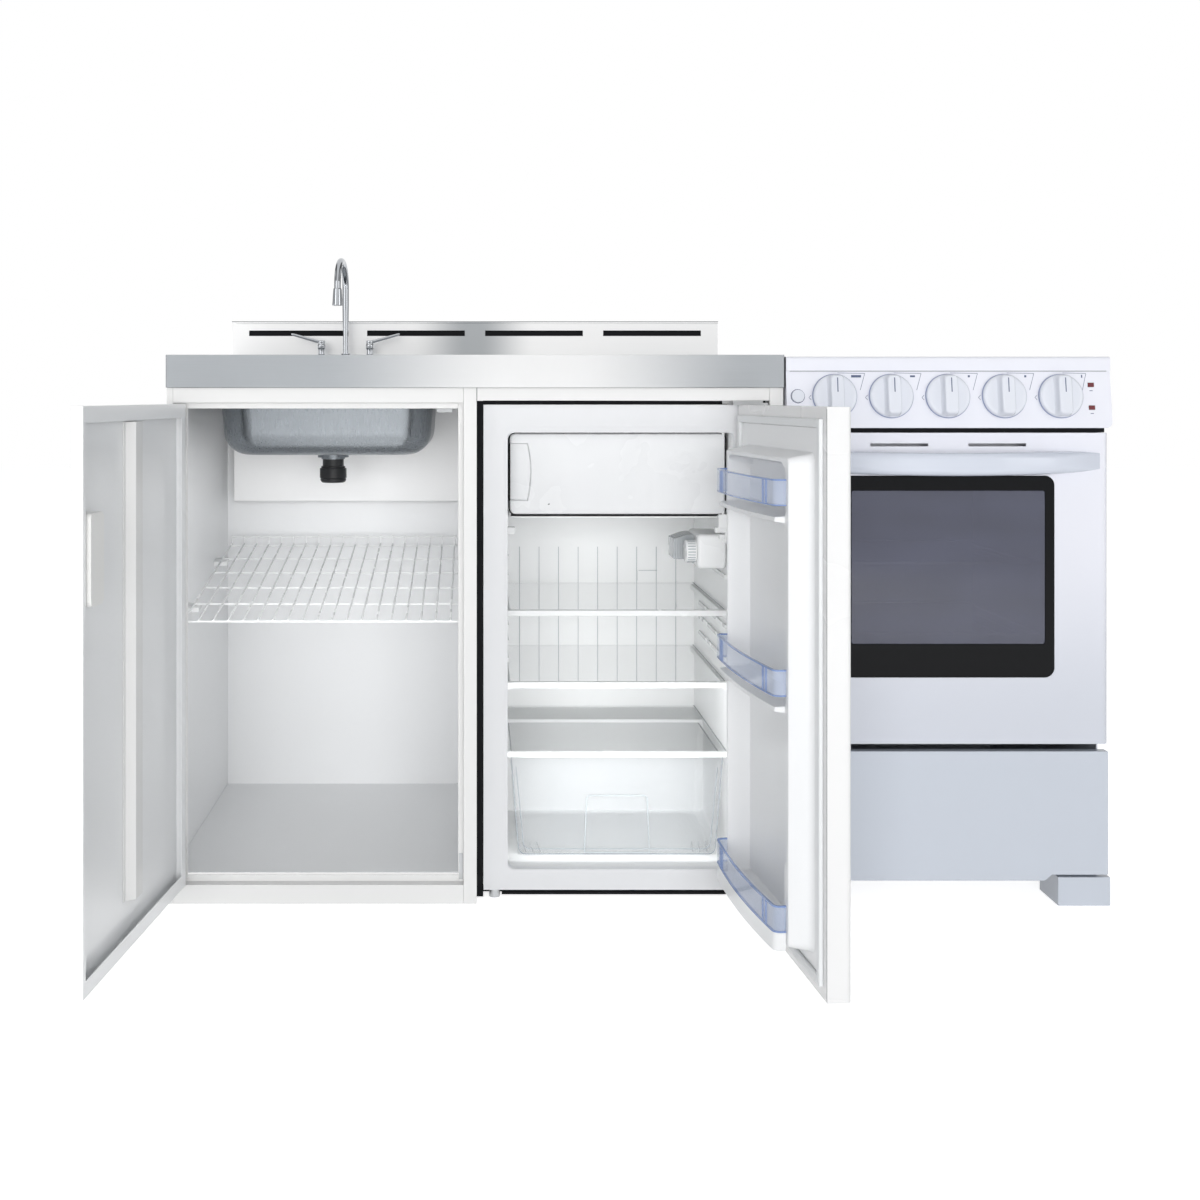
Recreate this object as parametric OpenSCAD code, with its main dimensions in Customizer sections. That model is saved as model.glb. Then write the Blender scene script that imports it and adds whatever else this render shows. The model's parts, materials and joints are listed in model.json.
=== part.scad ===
// Kitchenette: a steel sink and refrigerator unit under one worktop, with a free-standing range beside it.
// Millimetres. +Z is up and the fronts face -Y. The origin lies on the floor, in the wall plane, at the
// middle of the whole width. Both hinged doors of the unit are drawn open; everything else is closed.

/* [Whole set] */
// Height of the worktop above the floor
counter_h = 889; // [870:1:930]
// Depth of the worktop from the wall to its front edge
counter_d = 640; // [630:1:680]
// Width of the sink and refrigerator unit
unit_w = 998; // [980:1:1040]
// Width of the left bay, which holds the sink
sink_bay_w = 502; // [490:1:520]
// Width of the free-standing range
range_w = 523; // [515:1:600]
// Gap between the unit and the range
side_gap = 3; // [2:1:6]

/* [Worktop] */
// Height of the worktop's front edge
edge_h = 53; // [45:1:60]
// Thickness of the stainless sheet
sheet_t = 1.5; // [1:0.1:2]
// Width of the lip folded back under the front edge
edge_lip = 14; // [8:1:20]
// Height of the backsplash above the worktop
splash_h = 84; // [70:1:110]
// Thickness of the hollow backsplash
splash_t = 22; // [16:1:30]
// How far each end of the backsplash stays inside the worktop's end
splash_inset = 7; // [2:1:15]
// Width of one vent slot
slot_w = 198; // [150:1:210]
// Height of one vent slot
slot_h = 11; // [6:1:14]
// Distance from one vent slot to the next
slot_pitch = 239; // [220:1:240]
// Distance from the backsplash's top down to the middle of the slots
slot_drop = 24; // [18:1:34]

/* [Sink and faucet] */
// Width of the sink bowl
bowl_w = 380; // [340:1:400]
// Front to back length of the sink bowl
bowl_l = 330; // [300:1:340]
// Depth of the sink bowl below the worktop
bowl_depth = 168; // [140:1:175]
// Distance from the unit's left end to the middle of the bowl
bowl_from_left = 242; // [235:1:252]
// Distance from the wall to the middle of the bowl
bowl_from_wall = 340; // [320:1:350]
// Radius in plan of the bowl's corners at the rim
bowl_corner_r = 58; // [45:1:70]
// Radius between the bowl's floor and its walls
bowl_floor_r = 42; // [30:1:50]
// How much the bowl narrows on each side from rim to floor
bowl_draft = 9; // [4:1:14]
// Outer diameter of the drain tailpiece
tail_d = 38.1; // [32:0.1:40]
// Length of the tailpiece below the bowl
tail_l = 54; // [45:1:70]
// Distance from the wall to the faucet
faucet_from_wall = 80; // [70:1:90]
// Distance from the faucet's middle to each valve
valve_offset = 48; // [44:1:52]
// Outer diameter of each supply shank
shank_d = 20.8; // [18:0.1:22]
// Outer diameter of the spout tube
spout_d = 13; // [11:0.5:16]
// Radius of the spout's bend, measured to the middle of the tube
spout_bend_r = 50; // [40:1:60]
// Height above the worktop at which the spout's bend starts
spout_rise = 146; // [120:1:170]
// Angle by which the spout points left of straight forward
spout_turn = 4; // [0:1:10]
// Length of a lever from its stem to its tip
lever_l = 54; // [45:1:60]
// Upward slope of each lever
lever_slope = 16; // [5:1:25]

/* [Unit cabinet] */
// Distance from the worktop's front edge back to the cabinet's front frame
frame_setback = 8; // [4:1:12]
// Front to back depth of the frame members
frame_d = 32; // [28:1:40]
// Thickness of the cabinet's sheet panels
panel_t = 1.5; // [1:0.1:2.5]
// Width of the left frame post
left_post_w = 10; // [8:1:16]
// Width of the post between the two bays
mid_post_w = 21.6; // [18:0.1:26]
// Width of the post at the refrigerator's right
end_post_w = 22; // [18:1:26]
// Height of the frame's top rail over the sink bay
top_rail_h = 24.5; // [20:0.5:30]
// Height of the frame's bottom rail
bottom_rail_h = 31; // [25:1:40]
// Height of the frame's top rail over the refrigerator
bay_rail_h = 21; // [16:1:24]
// Widths of the stop lip behind the door: left, right, top, bottom
stop_lips = [21, 8.9, 9.5, 11];
// Distance from the wall to the cabinet's back panel
back_from_wall = 40; // [30:1:50]
// Height of the cabinet floor's top above the room's floor
cabinet_floor_h = 42; // [38:1:50]
// Height of the apron that hides the pipes below the worktop
apron_h = 221; // [180:1:240]
// Height of the rail along the foot of the back
base_rail_h = 36; // [28:1:36]

/* [Cabinet door] */
// Angle at which the cabinet door stands open
cabinet_door_angle = 95.5; // [80:0.5:110]
// Thickness of the folded door
cabinet_door_t = 16; // [14:1:20]
// Running gap round the door
door_gap = 2; // [1.5:0.1:3]
// Gap at the hinge side, which takes both hinge leaves
hinge_gap = 3.7; // [3.5:0.1:5]
// Width of the stiffener down the door's middle
stiffener_w = 64; // [50:1:80]
// Width of the recessed pull
pull_w = 50; // [40:1:60]
// Height of the recessed pull
pull_h = 124; // [100:1:140]
// Depth of the recessed pull
pull_d = 21; // [16:1:24]
// Distance from the door's free edge to the middle of the pull
pull_from_edge = 40; // [36:1:60]
// Height of the pull's middle above the floor
pull_z = 606; // [560:1:640]
// Length of one hinge barrel
hinge_l = 64; // [50:1:70]
// Radius of the hinge pins
hinge_pin_r = 2; // [1.5:0.1:2.5]

/* [Wire shelf] */
// Height of the shelf's front edge above the floor
shelf_front_h = 451; // [430:1:480]
// Rise of the shelf from front to back, in degrees
shelf_tilt = 9; // [0:0.5:10]
// Front to back length of the wire shelf
wire_shelf_l = 500; // [450:1:510]
// Radius of the shelf wires
wire_r = 1.6; // [1.2:0.1:2]
// Number of wires that run front to back
wire_count = 20; // [14:1:24]
// Number of gaps between the shelf's cross bars
wire_rows = 5; // [4:1:6]
// Height of the upturned lip at the shelf's back
wire_lip_h = 18; // [12:1:24]

/* [Refrigerator] */
// Gap on each side of the refrigerator in its bay
fridge_side_gap = 11; // [8:1:16]
// Gap above the refrigerator
fridge_top_gap = 7; // [5:1:10]
// Height of the refrigerator's feet
fridge_foot_h = 13; // [11:1:20]
// Distance from the worktop's front edge back to the refrigerator's flange
fridge_setback = 40; // [38:1:46]
// Depth of the refrigerator's body without its door
fridge_d = 510; // [490:1:530]
// Thickness of the side walls
fridge_wall = 38; // [34:1:42]
// Thickness of the top wall
fridge_top_t = 44; // [38:1:50]
// Thickness of the floor
fridge_base_t = 32; // [28:1:40]
// Thickness of the back wall
fridge_back_t = 50; // [40:1:55]
// Thickness of the inner liner
liner_t = 1.5; // [1:0.1:2]
// Radius of the liner's corners
liner_r = 8; // [3:1:8]
// Height of the step over the compressor, from the refrigerator's foot
step_h = 202; // [190:1:215]
// Distance from the flange back to the compressor step
step_from_front = 350; // [330:1:370]
// Distance from the flange back to the shelves and drawers
contents_setback = 65; // [62:1:80]
// Height of the freezer box and its door
freezer_h = 146; // [130:1:150]
// Distances from the freezer box down to the tops of the two glass shelves
shelf_drops = [156, 277];
// Thickness of the shelf glass
shelf_glass_t = 4; // [3:0.5:5]

/* [Refrigerator door] */
// Angle at which the refrigerator door stands open
fridge_door_angle = 95; // [80:1:95]
// Thickness of the refrigerator door
fridge_door_t = 34; // [30:1:36]
// Thickness of the door gasket
gasket_t = 6.2; // [5:0.1:8]
// Distance from the door's hinge edge to its pin
fridge_pin_in = 16; // [15:1:18]
// Distance from the door's front to its pin
fridge_pin_back = 15; // [12:1:18]
// Radius of the refrigerator's hinge pins
fridge_pin_r = 4; // [3:0.5:5]
// How far the side ridges of the door liner stand out
ridge_d = 36; // [30:1:40]
// How far the door racks stand out from the door
rack_reach = 61; // [55:1:62]
// Height of the rack rails
rack_rail_h = 36; // [30:1:40]
// Distances from the refrigerator's top down to the feet of the upper two rack rails
rack_drops = [136, 398];
// Height of the lowest rack rail above the refrigerator's foot
low_rack_h = 73; // [60:1:90]

/* [Range] */
// Height of the cooktop's surface above the floor
range_h = 886; // [870:1:920]
// Depth of the range from the oven door's face to its back
range_d = 625; // [600:1:630]
// Height of the cooktop's edge
cooktop_h = 23; // [18:1:30]
// Thickness of the cooktop glass
cooktop_glass_t = 4; // [3:0.5:5]
// Thickness of the range's sheet panels
range_t = 2.5; // [1.5:0.1:3]
// Height of the control panel
controls_h = 92; // [80:1:100]
// How far the control panel's top leans back
controls_lean = 12; // [0:1:20]
// How far the foot of the control panel stands in front of the oven door
controls_proud = 10; // [4:1:16]
// Diameter of a knob's skirt
knob_d = 72; // [60:1:76]
// Distance from the range's left side to the first knob
first_knob = 77; // [72:1:84]
// Distance from the range's right side to the last knob
last_knob = 82; // [78:1:90]
// Depth of the oven door
oven_door_t = 46; // [40:1:50]
// Height of the oven door
oven_door_h = 502; // [480:1:510]
// Gap between the control panel and the oven door
oven_door_gap = 8; // [6:1:12]
// Width of the oven door's window
window_w = 343; // [300:1:380]
// Height of the oven door's window
window_h = 326; // [280:1:340]
// Height of the window's middle above the oven door's foot
window_up = 270; // [250:1:290]
// Width of the oven inside
oven_w = 400; // [380:1:410]
// Height of the oven inside
oven_h = 370; // [340:1:380]
// Height of the oven's floor above the oven door's foot
oven_floor_up = 61; // [59:1:74]
// Front to back depth of the oven inside
oven_d = 436; // [400:1:450]
// Heights of the two oven racks above the oven's floor
oven_rack_heights = [100, 218];
// How far the handle bows out from the oven door
handle_bow = 60; // [50:1:65]
// Height of the handle bar
handle_h = 36; // [28:1:42]
// Height of the handle's middle above the oven door's foot
handle_up = 453; // [440:1:460]
// Gap between the oven door and the drawer front
drawer_gap = 12; // [8:1:16]
// Height of the drawer front's foot above the floor
drawer_front_z = 40; // [34:1:44]
// Height of the range's feet
range_foot_h = 46; // [44:1:55]
// Width of one leg cover
leg_cover_w = 84; // [70:1:90]

/* [Hidden] */
$fn = 48;

// Clearances that every fit uses
seam = 0.2;        // between sheets that are welded or screwed together
clear = 0.3;       // between pieces that move past each other
pin_fit = 0.05;    // between a hinge pin and its bore, on the radius
eps = 0.01;        // overrun of a cut past the face it opens
wall_skin = 1;     // sheet round a foam-filled or hollow wall

// Plan of the whole set
x_left = -(unit_w + side_gap + range_w) / 2;
unit_right = x_left + unit_w;
bay_x = x_left + sink_bay_w;
range_x = unit_right + side_gap;
range_right = range_x + range_w;
range_cx = range_x + range_w / 2;
front_y = -counter_d;
edge_z = counter_h - edge_h;
frame_y = front_y + frame_setback;
frame_back_y = frame_y + frame_d;

// Sink bay
inner_x0 = x_left + panel_t;
inner_x1 = bay_x - 2 * panel_t;
cabinet_back_y = -back_from_wall;
bowl_x = x_left + bowl_from_left;
bowl_y = -bowl_from_wall;
bowl_t = 1.5;
bowl_top = counter_h - sheet_t;
bowl_base = bowl_top - bowl_depth;
bowl_flange = 14;
film = 0.5;
tail_r = tail_d / 2;
tail_wall = 1.6;
strainer_r = 38;
strainer_tube_r = tail_r + 2.2;
slip_nut_r = 24.5;
slip_nut_h = 24;
faucet_y = -faucet_from_wall;
shank_r = shank_d / 2;
shank_l = 62;
shank_neck_r = shank_r + 0.4;
bridge_z = -38;
bridge_h = 16;
base_r = 14.5;
base_h = 15;
hub_h = 30;
stem_r = 4;
stem_l = 10;
lever_hub_r = 8;
lever_hub_h = 13;
spout_r = spout_d / 2;
spout_stem_r = spout_r - 1.5;
collar_h = 17;

// Cabinet door, closed
door_x0 = x_left + left_post_w + hinge_gap;
door_x1 = bay_x - mid_post_w - door_gap;
door_z0 = bottom_rail_h + door_gap;
rail_z = edge_z - top_rail_h;
door_z1 = rail_z - door_gap;
door_back_y = frame_y + cabinet_door_t;
stop_y = door_back_y + door_gap;
barrel_r = hinge_pin_r + 2;
leaf_t = 1.4;
leaf_l = 15;
hinge_x = door_x0 - hinge_gap / 2 + 0.15;
hinge_y = frame_y - barrel_r - 0.5;
hinge_in = 7;
hinge_levels = [door_z0 + hinge_in, door_z1 - hinge_in - hinge_l];
skin_t = 1.2;
pull_ledge = 4;
pull_r = 7;

// Refrigerator
fridge_x0 = bay_x + fridge_side_gap;
fridge_x1 = unit_right - end_post_w - fridge_side_gap;
fridge_z0 = fridge_foot_h;
fridge_z1 = edge_z - bay_rail_h - fridge_top_gap;
fridge_y0 = front_y + fridge_setback;
fridge_y1 = fridge_y0 + fridge_d;
cavity_x0 = fridge_x0 + fridge_wall;
cavity_x1 = fridge_x1 - fridge_wall;
cavity_z0 = fridge_z0 + fridge_base_t;
cavity_z1 = fridge_z1 - fridge_top_t;
cavity_y1 = fridge_y1 - fridge_back_t;
step_z = fridge_z0 + step_h;
step_y = fridge_y0 + step_from_front;
room_x0 = cavity_x0 + liner_t;
room_x1 = cavity_x1 - liner_t;
room_z0 = cavity_z0 + liner_t;
room_z1 = cavity_z1 - liner_t;
room_y1 = cavity_y1 - liner_t;
contents_y = fridge_y0 + contents_setback;
freezer_x0 = room_x0 + 5;
freezer_x1 = room_x1 - 5;
freezer_door_t = 20;
freezer_door_y = contents_y - 3;
freezer_z0 = room_z1 - clear - freezer_h;
freezer_t = 2;
freezer_pin_x = freezer_x1 - 3.5;
freezer_pin_y = freezer_door_y + 6;
freezer_pin_r = 2.5;
freezer_door_z0 = freezer_z0 + 7;
freezer_door_z1 = room_z1 - 2.5;
shelf_trim_h = 10;
trim_d = 9;
shelf_back_gap = 4;
shelf_side_gap = 2;
ledge_w = 7;
ledge_h = 9;
crisper_lid_z = step_z + liner_t + clear;
shelf_levels = [for (drop = shelf_drops) freezer_z0 - drop];
dial_r = 19;
dial_w = 18;
spindle_r = 3;
housing_x0 = room_x1 - 50;
housing_h = 59;
housing_gap = 28.2;
housing_z = freezer_z0 - housing_gap - housing_h;
housing_y0 = contents_y + 15;
housing_l = 120;
dial_y = housing_y0 + dial_r;
dial_z = housing_z + 29;

// Refrigerator door, closed
fridge_door_in_y = fridge_y0 - liner_t - clear - gasket_t;
fridge_door_out_y = fridge_door_in_y - fridge_door_t;
fridge_pin_x = fridge_x1 - fridge_pin_in;
fridge_pin_y = fridge_door_out_y + fridge_pin_back;
hinge_plate_t = 3;
ridge_w = 26;
ridge_gap = 10;
ridge_x0 = cavity_x0 + ridge_gap;
ridge_x1 = cavity_x1 - ridge_gap;
rack_wall = 3;
rack_front_y = fridge_door_in_y + rack_reach;
rack_floor_drop = 14;
rack_levels = [fridge_z1 - rack_drops[0], fridge_z1 - rack_drops[1], fridge_z0 + low_rack_h];
gasket_w = 12;
gasket_in = fridge_pin_in;

// Range
range_y1 = front_y + range_d;
cooktop_z0 = range_h - cooktop_h;
cooktop_rim = 22;
controls_z0 = cooktop_z0 - controls_h;
controls_y0 = front_y - controls_proud;
controls_angle = atan(controls_lean / controls_h);
oven_door_z = controls_z0 - oven_door_gap - oven_door_h;
oven_floor_h = oven_door_z + oven_floor_up;
oven_front_y = front_y + oven_door_t + 4;
side_y0 = oven_front_y;
knob_up = 51;
knob_z = controls_z0 + knob_up;
knob_face_y = controls_y0 + controls_lean * knob_up / controls_h;
knob_count = 5;
knob_pitch = (range_w - first_knob - last_knob) / (knob_count - 1);
knob_gap = 1;
shaft_r = 4;
shaft_l = 14;
switch_size = 36;
button_r = 10;
button_travel = 3;
button_seat = range_t + 10;
button_x = 18;
lamp_x = range_w - 32;
lamp_spread = 18.5;
lens_w = 10;
lens_h = 7;
oven_x0 = range_cx - oven_w / 2;
oven_x1 = range_cx + oven_w / 2;
oven_z1 = oven_floor_h + oven_h;
oven_liner_t = 4;
oven_y1 = oven_front_y + oven_d;
oven_pin_y = front_y + 24;
oven_pin_z = oven_door_z + 29;
oven_pin_r = 4;
arm_w = 6;
arm_in = 20;
recess_y = oven_front_y + 14;
oven_side_gap = 3;
window_r = 16;
handle_end = 17;
drawer_side_gap = 23;
drawer_t = 2;
drawer_y1 = range_y1 - 135;
drawer_box_z = range_foot_h + 10;
drawer_front_z1 = oven_door_z - drawer_gap;
drawer_box_drop = 49;
drawer_box_z1 = drawer_front_z1 - drawer_box_drop;
drawer_front_t = 18;

function knob_x(index) = range_x + first_knob + index * knob_pitch;

// ---------- shared shapes ----------

module span(lo, hi) {
    translate(lo) cube(hi - lo);
}

// Box of sheet metal around an empty or foamed core
module hollow_box(lo, hi) {
    t = [wall_skin, wall_skin, wall_skin];
    difference() {
        span(lo, hi);
        span(lo + t, hi - t);
    }
}

module rounded_rect(w, h, r) {
    square([w - 2 * r, h], center = true);
    square([w, h - 2 * r], center = true);
    for (sx = [-1, 1], sy = [-1, 1])
        translate([sx * (w / 2 - r), sy * (h / 2 - r)]) circle(r);
}

// Upright plate with rounded corners, from y_front back by depth, centred on x and z
module upright_plate(x, z, y_front, depth, w, h, r) {
    translate([x, y_front + depth, z]) rotate([90, 0, 0])
        linear_extrude(depth) rounded_rect(w, h, r);
}

// Folded channel, open at its back
module channel(lo, hi, t) {
    difference() {
        span(lo, hi);
        span([lo.x + t, lo.y + t, lo.z + t], [hi.x - t, hi.y + eps, hi.z - t]);
    }
}

module ring(r_out, r_in, h) {
    difference() {
        cylinder(r = r_out, h = h);
        translate([0, 0, -eps]) cylinder(r = r_in, h = h + 2 * eps);
    }
}

// Turns the closed cabinet door to its open place
module at_cabinet_door() {
    translate([hinge_x, hinge_y, 0]) rotate([0, 0, -cabinet_door_angle])
        translate([-hinge_x, -hinge_y, 0]) children();
}

// Turns the closed refrigerator door to its open place
module at_fridge_door() {
    translate([fridge_pin_x, fridge_pin_y, 0]) rotate([0, 0, fridge_door_angle])
        translate([-fridge_pin_x, -fridge_pin_y, 0]) children();
}

// Stands a piece on the leaning control panel; its own -Y then points out of the panel
module at_controls(x, y, z) {
    translate([x, y, z]) rotate([-controls_angle, 0, 0]) children();
}

// ---------- worktop, sink and faucet ----------

module bowl_form(inset, top_z) {
    floor_w = bowl_w - 2 * bowl_draft;
    floor_l = bowl_l - 2 * bowl_draft;
    hull() {
        for (sx = [-1, 1], sy = [-1, 1]) {
            translate([bowl_x + sx * (bowl_w / 2 - bowl_corner_r),
                bowl_y + sy * (bowl_l / 2 - bowl_corner_r),
                       top_z - film])
                cylinder(r = bowl_corner_r - inset, h = film, $fn = 32);
            translate([bowl_x + sx * (floor_w / 2 - bowl_floor_r),
                bowl_y + sy * (floor_l / 2 - bowl_floor_r),
                       bowl_base + bowl_floor_r])
                sphere(r = bowl_floor_r - inset, $fn = 32);
        }
    }
}

module at_valves() {
    for (side = [-1, 0, 1])
        translate([bowl_x + side * valve_offset, faucet_y, 0]) children();
}

module countertop() {
    color("lightsteelblue") difference() {
        union() {
            span([x_left, front_y, counter_h - sheet_t], [unit_right, 0, counter_h]);
            span([x_left, front_y, edge_z], [unit_right, front_y + sheet_t, counter_h]);
            span([x_left, front_y, edge_z], [unit_right, front_y + edge_lip, edge_z + sheet_t]);
            span([x_left, front_y, edge_z], [x_left + sheet_t, 0, counter_h]);
            span([unit_right - sheet_t, front_y, edge_z], [unit_right, 0, counter_h]);
            span([x_left, -sheet_t, edge_z], [unit_right, 0, counter_h]);
        }
        translate([bowl_x, bowl_y, bowl_top - eps])
            linear_extrude(sheet_t + 2 * eps)
                rounded_rect(bowl_w - 2 * bowl_t, bowl_l - 2 * bowl_t, bowl_corner_r - bowl_t);
        at_valves() translate([0, 0, bowl_top - eps])
            cylinder(r = shank_neck_r + seam, h = sheet_t + 2 * eps);
    }
}

module backsplash() {
    x0 = x_left + splash_inset;
    x1 = unit_right - splash_inset;
    top = counter_h + splash_h;
    hem = 4;
    baffle_gap = 8;
    color("gainsboro") difference() {
        span([x0, -splash_t, counter_h + seam], [x1, 0, top]);
        span([x0 + sheet_t, -splash_t + sheet_t, counter_h], [x1 - sheet_t, -sheet_t, top - sheet_t]);
        for (i = [-1.5 : 1 : 1.5])
            translate([(x0 + x1) / 2 + i * slot_pitch - slot_w / 2, -splash_t - eps,
                top - slot_drop - slot_h / 2])
                cube([slot_w, sheet_t + 2 * eps, slot_h]);
    }
    color("gainsboro")
        span([x0, -splash_t - sheet_t, top - hem], [x1, -splash_t, top]);
    color("black")
        span([x0 + sheet_t + seam, -splash_t + baffle_gap, counter_h + seam],
             [x1 - sheet_t - seam, -splash_t + baffle_gap + sheet_t, top - sheet_t - seam]);
}

module sink_bowl() {
    color("silver") difference() {
        union() {
            bowl_form(0, bowl_top);
            translate([bowl_x, bowl_y, bowl_top - bowl_t])
                linear_extrude(bowl_t)
                    rounded_rect(bowl_w + 2 * bowl_flange, bowl_l + 2 * bowl_flange,
                        bowl_corner_r + bowl_flange);
        }
        bowl_form(bowl_t, bowl_top + 1);
        translate([bowl_x, bowl_y, bowl_base - eps])
            cylinder(r = strainer_tube_r + seam, h = bowl_floor_r);
    }
}

module sink_strainer() {
    floor_z = bowl_base + bowl_t;
    flange_t = 2;
    nut_t = 8;
    nut_r = strainer_r - 10;
    grid_t = 2;
    grid_l = 2 * strainer_tube_r - 2;
    tube_l = 15;
    color("silver") translate([bowl_x, bowl_y, 0]) {
        translate([0, 0, floor_z + seam]) ring(strainer_r, strainer_tube_r - tail_wall, flange_t);
        translate([0, 0, floor_z + flange_t - tube_l]) ring(strainer_tube_r,
            strainer_tube_r - tail_wall, tube_l);
        for (turn = [0, 60, 120]) translate([0, 0, floor_z]) rotate([0, 0, turn])
            translate([-grid_l / 2, -grid_t / 2, 0]) cube([grid_l, grid_t, grid_t]);
        translate([0, 0, bowl_base - nut_t - seam]) ring(nut_r, strainer_tube_r - seam, nut_t);
    }
}

module drain_tailpiece() {
    nut_up = 14;
    collar = 3;
    collar_t = 4;
    color("dimgray") translate([bowl_x, bowl_y, bowl_base - tail_l]) {
        ring(tail_r, tail_r - tail_wall, tail_l - seam);
        translate([0, 0, nut_up]) ring(slip_nut_r, tail_r - seam, slip_nut_h);
        translate([0, 0, nut_up + slip_nut_h - seam]) ring(slip_nut_r - collar, tail_r - seam, collar_t);
    }
}

// One chrome bell with the threaded shank below it and, on a valve, the stem above it
module faucet_base(with_stem) {
    top_r = with_stem ? lever_hub_r : spout_r + 3;
    neck_r = with_stem ? lever_hub_r - 1.5 : spout_r + 1.5;
    neck_z = with_stem ? base_h + 1 : base_h - 0.5;
    top_z = with_stem ? hub_h : collar_h;
    flare = with_stem ? 2 : 0.8;
    foot_z = 0.1;
    difference() {
        rotate_extrude() polygon([
            [0, -shank_l], [shank_r, -shank_l], [shank_r, bridge_z], [shank_neck_r, bridge_z],
            [shank_neck_r, foot_z], [base_r, foot_z], [base_r, base_h * 0.13], [base_r * 0.9, base_h * 0.4],
            [base_r * 0.83, base_h * 0.73], [base_r * 0.69, base_h * 0.93], [neck_r, neck_z],
            [neck_r, top_z - 2.5 * flare], [top_r, top_z - flare], [top_r, top_z], [0, top_z]
        ]);
        if (!with_stem)
            translate([0, 0, top_z - stem_l]) cylinder(r = spout_stem_r + pin_fit, h = stem_l + eps);
    }
    if (with_stem)
        translate([0, 0, hub_h - eps]) cylinder(r = stem_r, h = stem_l);
}

module faucet_body() {
    nut_r = shank_r + 8;
    nut_h = 6;
    bridge_side = 4;
    color("whitesmoke") translate([bowl_x, faucet_y, counter_h]) {
        for (side = [-1, 0, 1])
            translate([side * valve_offset, 0, 0]) faucet_base(side != 0);
        for (side = [-1, 0, 1])
            translate([side * valve_offset, 0, -sheet_t - nut_h - seam]) ring(nut_r,
                shank_neck_r + pin_fit, nut_h);
        difference() {
            translate([-valve_offset - nut_r, -shank_r - bridge_side, bridge_z])
                cube([2 * (valve_offset + nut_r), 2 * (shank_r + bridge_side), bridge_h]);
            for (side = [-1, 0, 1])
                translate([side * valve_offset, 0, bridge_z - eps])
                    cylinder(r = shank_neck_r + pin_fit, h = bridge_h + 2 * eps);
        }
    }
}

module faucet_spout() {
    foot = collar_h + clear;
    nozzle_l = 34;
    nozzle_drop = 6;
    color("whitesmoke") translate([bowl_x, faucet_y, counter_h]) rotate([0, 0, -spout_turn]) {
        translate([0, 0, foot - stem_l]) cylinder(r = spout_stem_r, h = stem_l);
        translate([0, 0, foot]) cylinder(r = spout_r, h = spout_rise - foot);
        translate([0, -spout_bend_r, spout_rise]) rotate([90, 0, 90])
            rotate_extrude(angle = 180) translate([spout_bend_r, 0]) circle(spout_r);
        translate([0, -2 * spout_bend_r, spout_rise - nozzle_drop]) cylinder(r = spout_r,
            h = nozzle_drop + eps);
        translate([0, -2 * spout_bend_r, spout_rise - nozzle_drop - nozzle_l])
            cylinder(r1 = spout_r + 4, r2 = spout_r + 0.5, h = nozzle_l);
    }
}

module lever(side) {
    blade_r = 6;
    blade_t = 5;
    tip_t = 4.5;
    color("whitesmoke") translate([bowl_x + side * valve_offset, faucet_y, counter_h + hub_h + clear])
        difference() {
            union() {
                cylinder(r = lever_hub_r, h = lever_hub_h, $fn = 32);
                hull() {
                    translate([0, 0, lever_hub_h - blade_t]) cylinder(r = blade_r, h = blade_t, $fn = 32);
                    translate([side * lever_l, 0, lever_l * tan(lever_slope) + lever_hub_h - blade_t - 1])
                        cylinder(r = blade_r, h = tip_t, $fn = 32);
                }
            }
            translate([0, 0, -eps]) cylinder(r = stem_r + pin_fit, h = stem_l + eps);
        }
}

module lever_left() {
    lever(-1);
}

module lever_right() {
    lever(1);
}

// ---------- unit cabinet ----------

module sink_bay_frame() {
    post_x = x_left + left_post_w;
    mid_x = bay_x - mid_post_w;
    back = frame_back_y - seam;
    top = edge_z - seam;
    x0 = post_x + seam;
    x1 = mid_x - seam;
    z0 = bottom_rail_h + seam;
    z1 = rail_z - seam;
    lip_x0 = post_x + stop_lips[0];
    lip_x1 = mid_x - stop_lips[1];
    lip_y = stop_y + panel_t;
    color("white") {
        channel([x_left, frame_y, 0], [post_x, back, top], panel_t);
        channel([mid_x, frame_y, 0], [bay_x - seam, back, top], panel_t);
        channel([x0, frame_y, rail_z], [x1, back, top], panel_t);
        channel([x0, frame_y, 0], [x1, back, bottom_rail_h], panel_t);
        span([x0, stop_y, z0], [lip_x0, lip_y, z1]);
        span([lip_x1, stop_y, z0], [x1, lip_y, z1]);
        span([lip_x0 + seam, stop_y, rail_z - stop_lips[2]], [lip_x1 - seam, lip_y, z1]);
        span([lip_x0 + seam, stop_y, z0], [lip_x1 - seam, lip_y, bottom_rail_h + stop_lips[3]]);
    }
}

module fridge_bay_frame() {
    color("white") {
        channel([bay_x + seam, frame_y, edge_z - bay_rail_h],
                [unit_right - end_post_w - seam, frame_back_y - seam, edge_z - seam], panel_t);
        channel([unit_right - end_post_w, frame_y, 0], [unit_right, frame_back_y - seam,
            edge_z - seam], panel_t);
    }
}

module side_panels() {
    color("white") {
        span([x_left, frame_back_y, 0], [x_left + panel_t, 0, edge_z - seam]);
        span([unit_right - panel_t, frame_back_y, 0], [unit_right, 0, edge_z - seam]);
    }
}

module partition_panel() {
    color("gainsboro")
        span([inner_x1 + seam, frame_back_y, 0], [inner_x1 + panel_t, cabinet_back_y, edge_z - seam]);
}

module cabinet_floor() {
    rail_t = 20;
    color("lightgray") {
        span([inner_x0 + seam, frame_back_y, cabinet_floor_h - panel_t],
             [inner_x1, cabinet_back_y - panel_t - seam, cabinet_floor_h]);
        span([inner_x0 + seam, -rail_t, 0], [unit_right - panel_t - seam, 0, base_rail_h]);
    }
}

module cabinet_back() {
    color("gainsboro")
        span([inner_x0 + seam, cabinet_back_y - panel_t, 0], [inner_x1, cabinet_back_y, edge_z - seam]);
}

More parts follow.
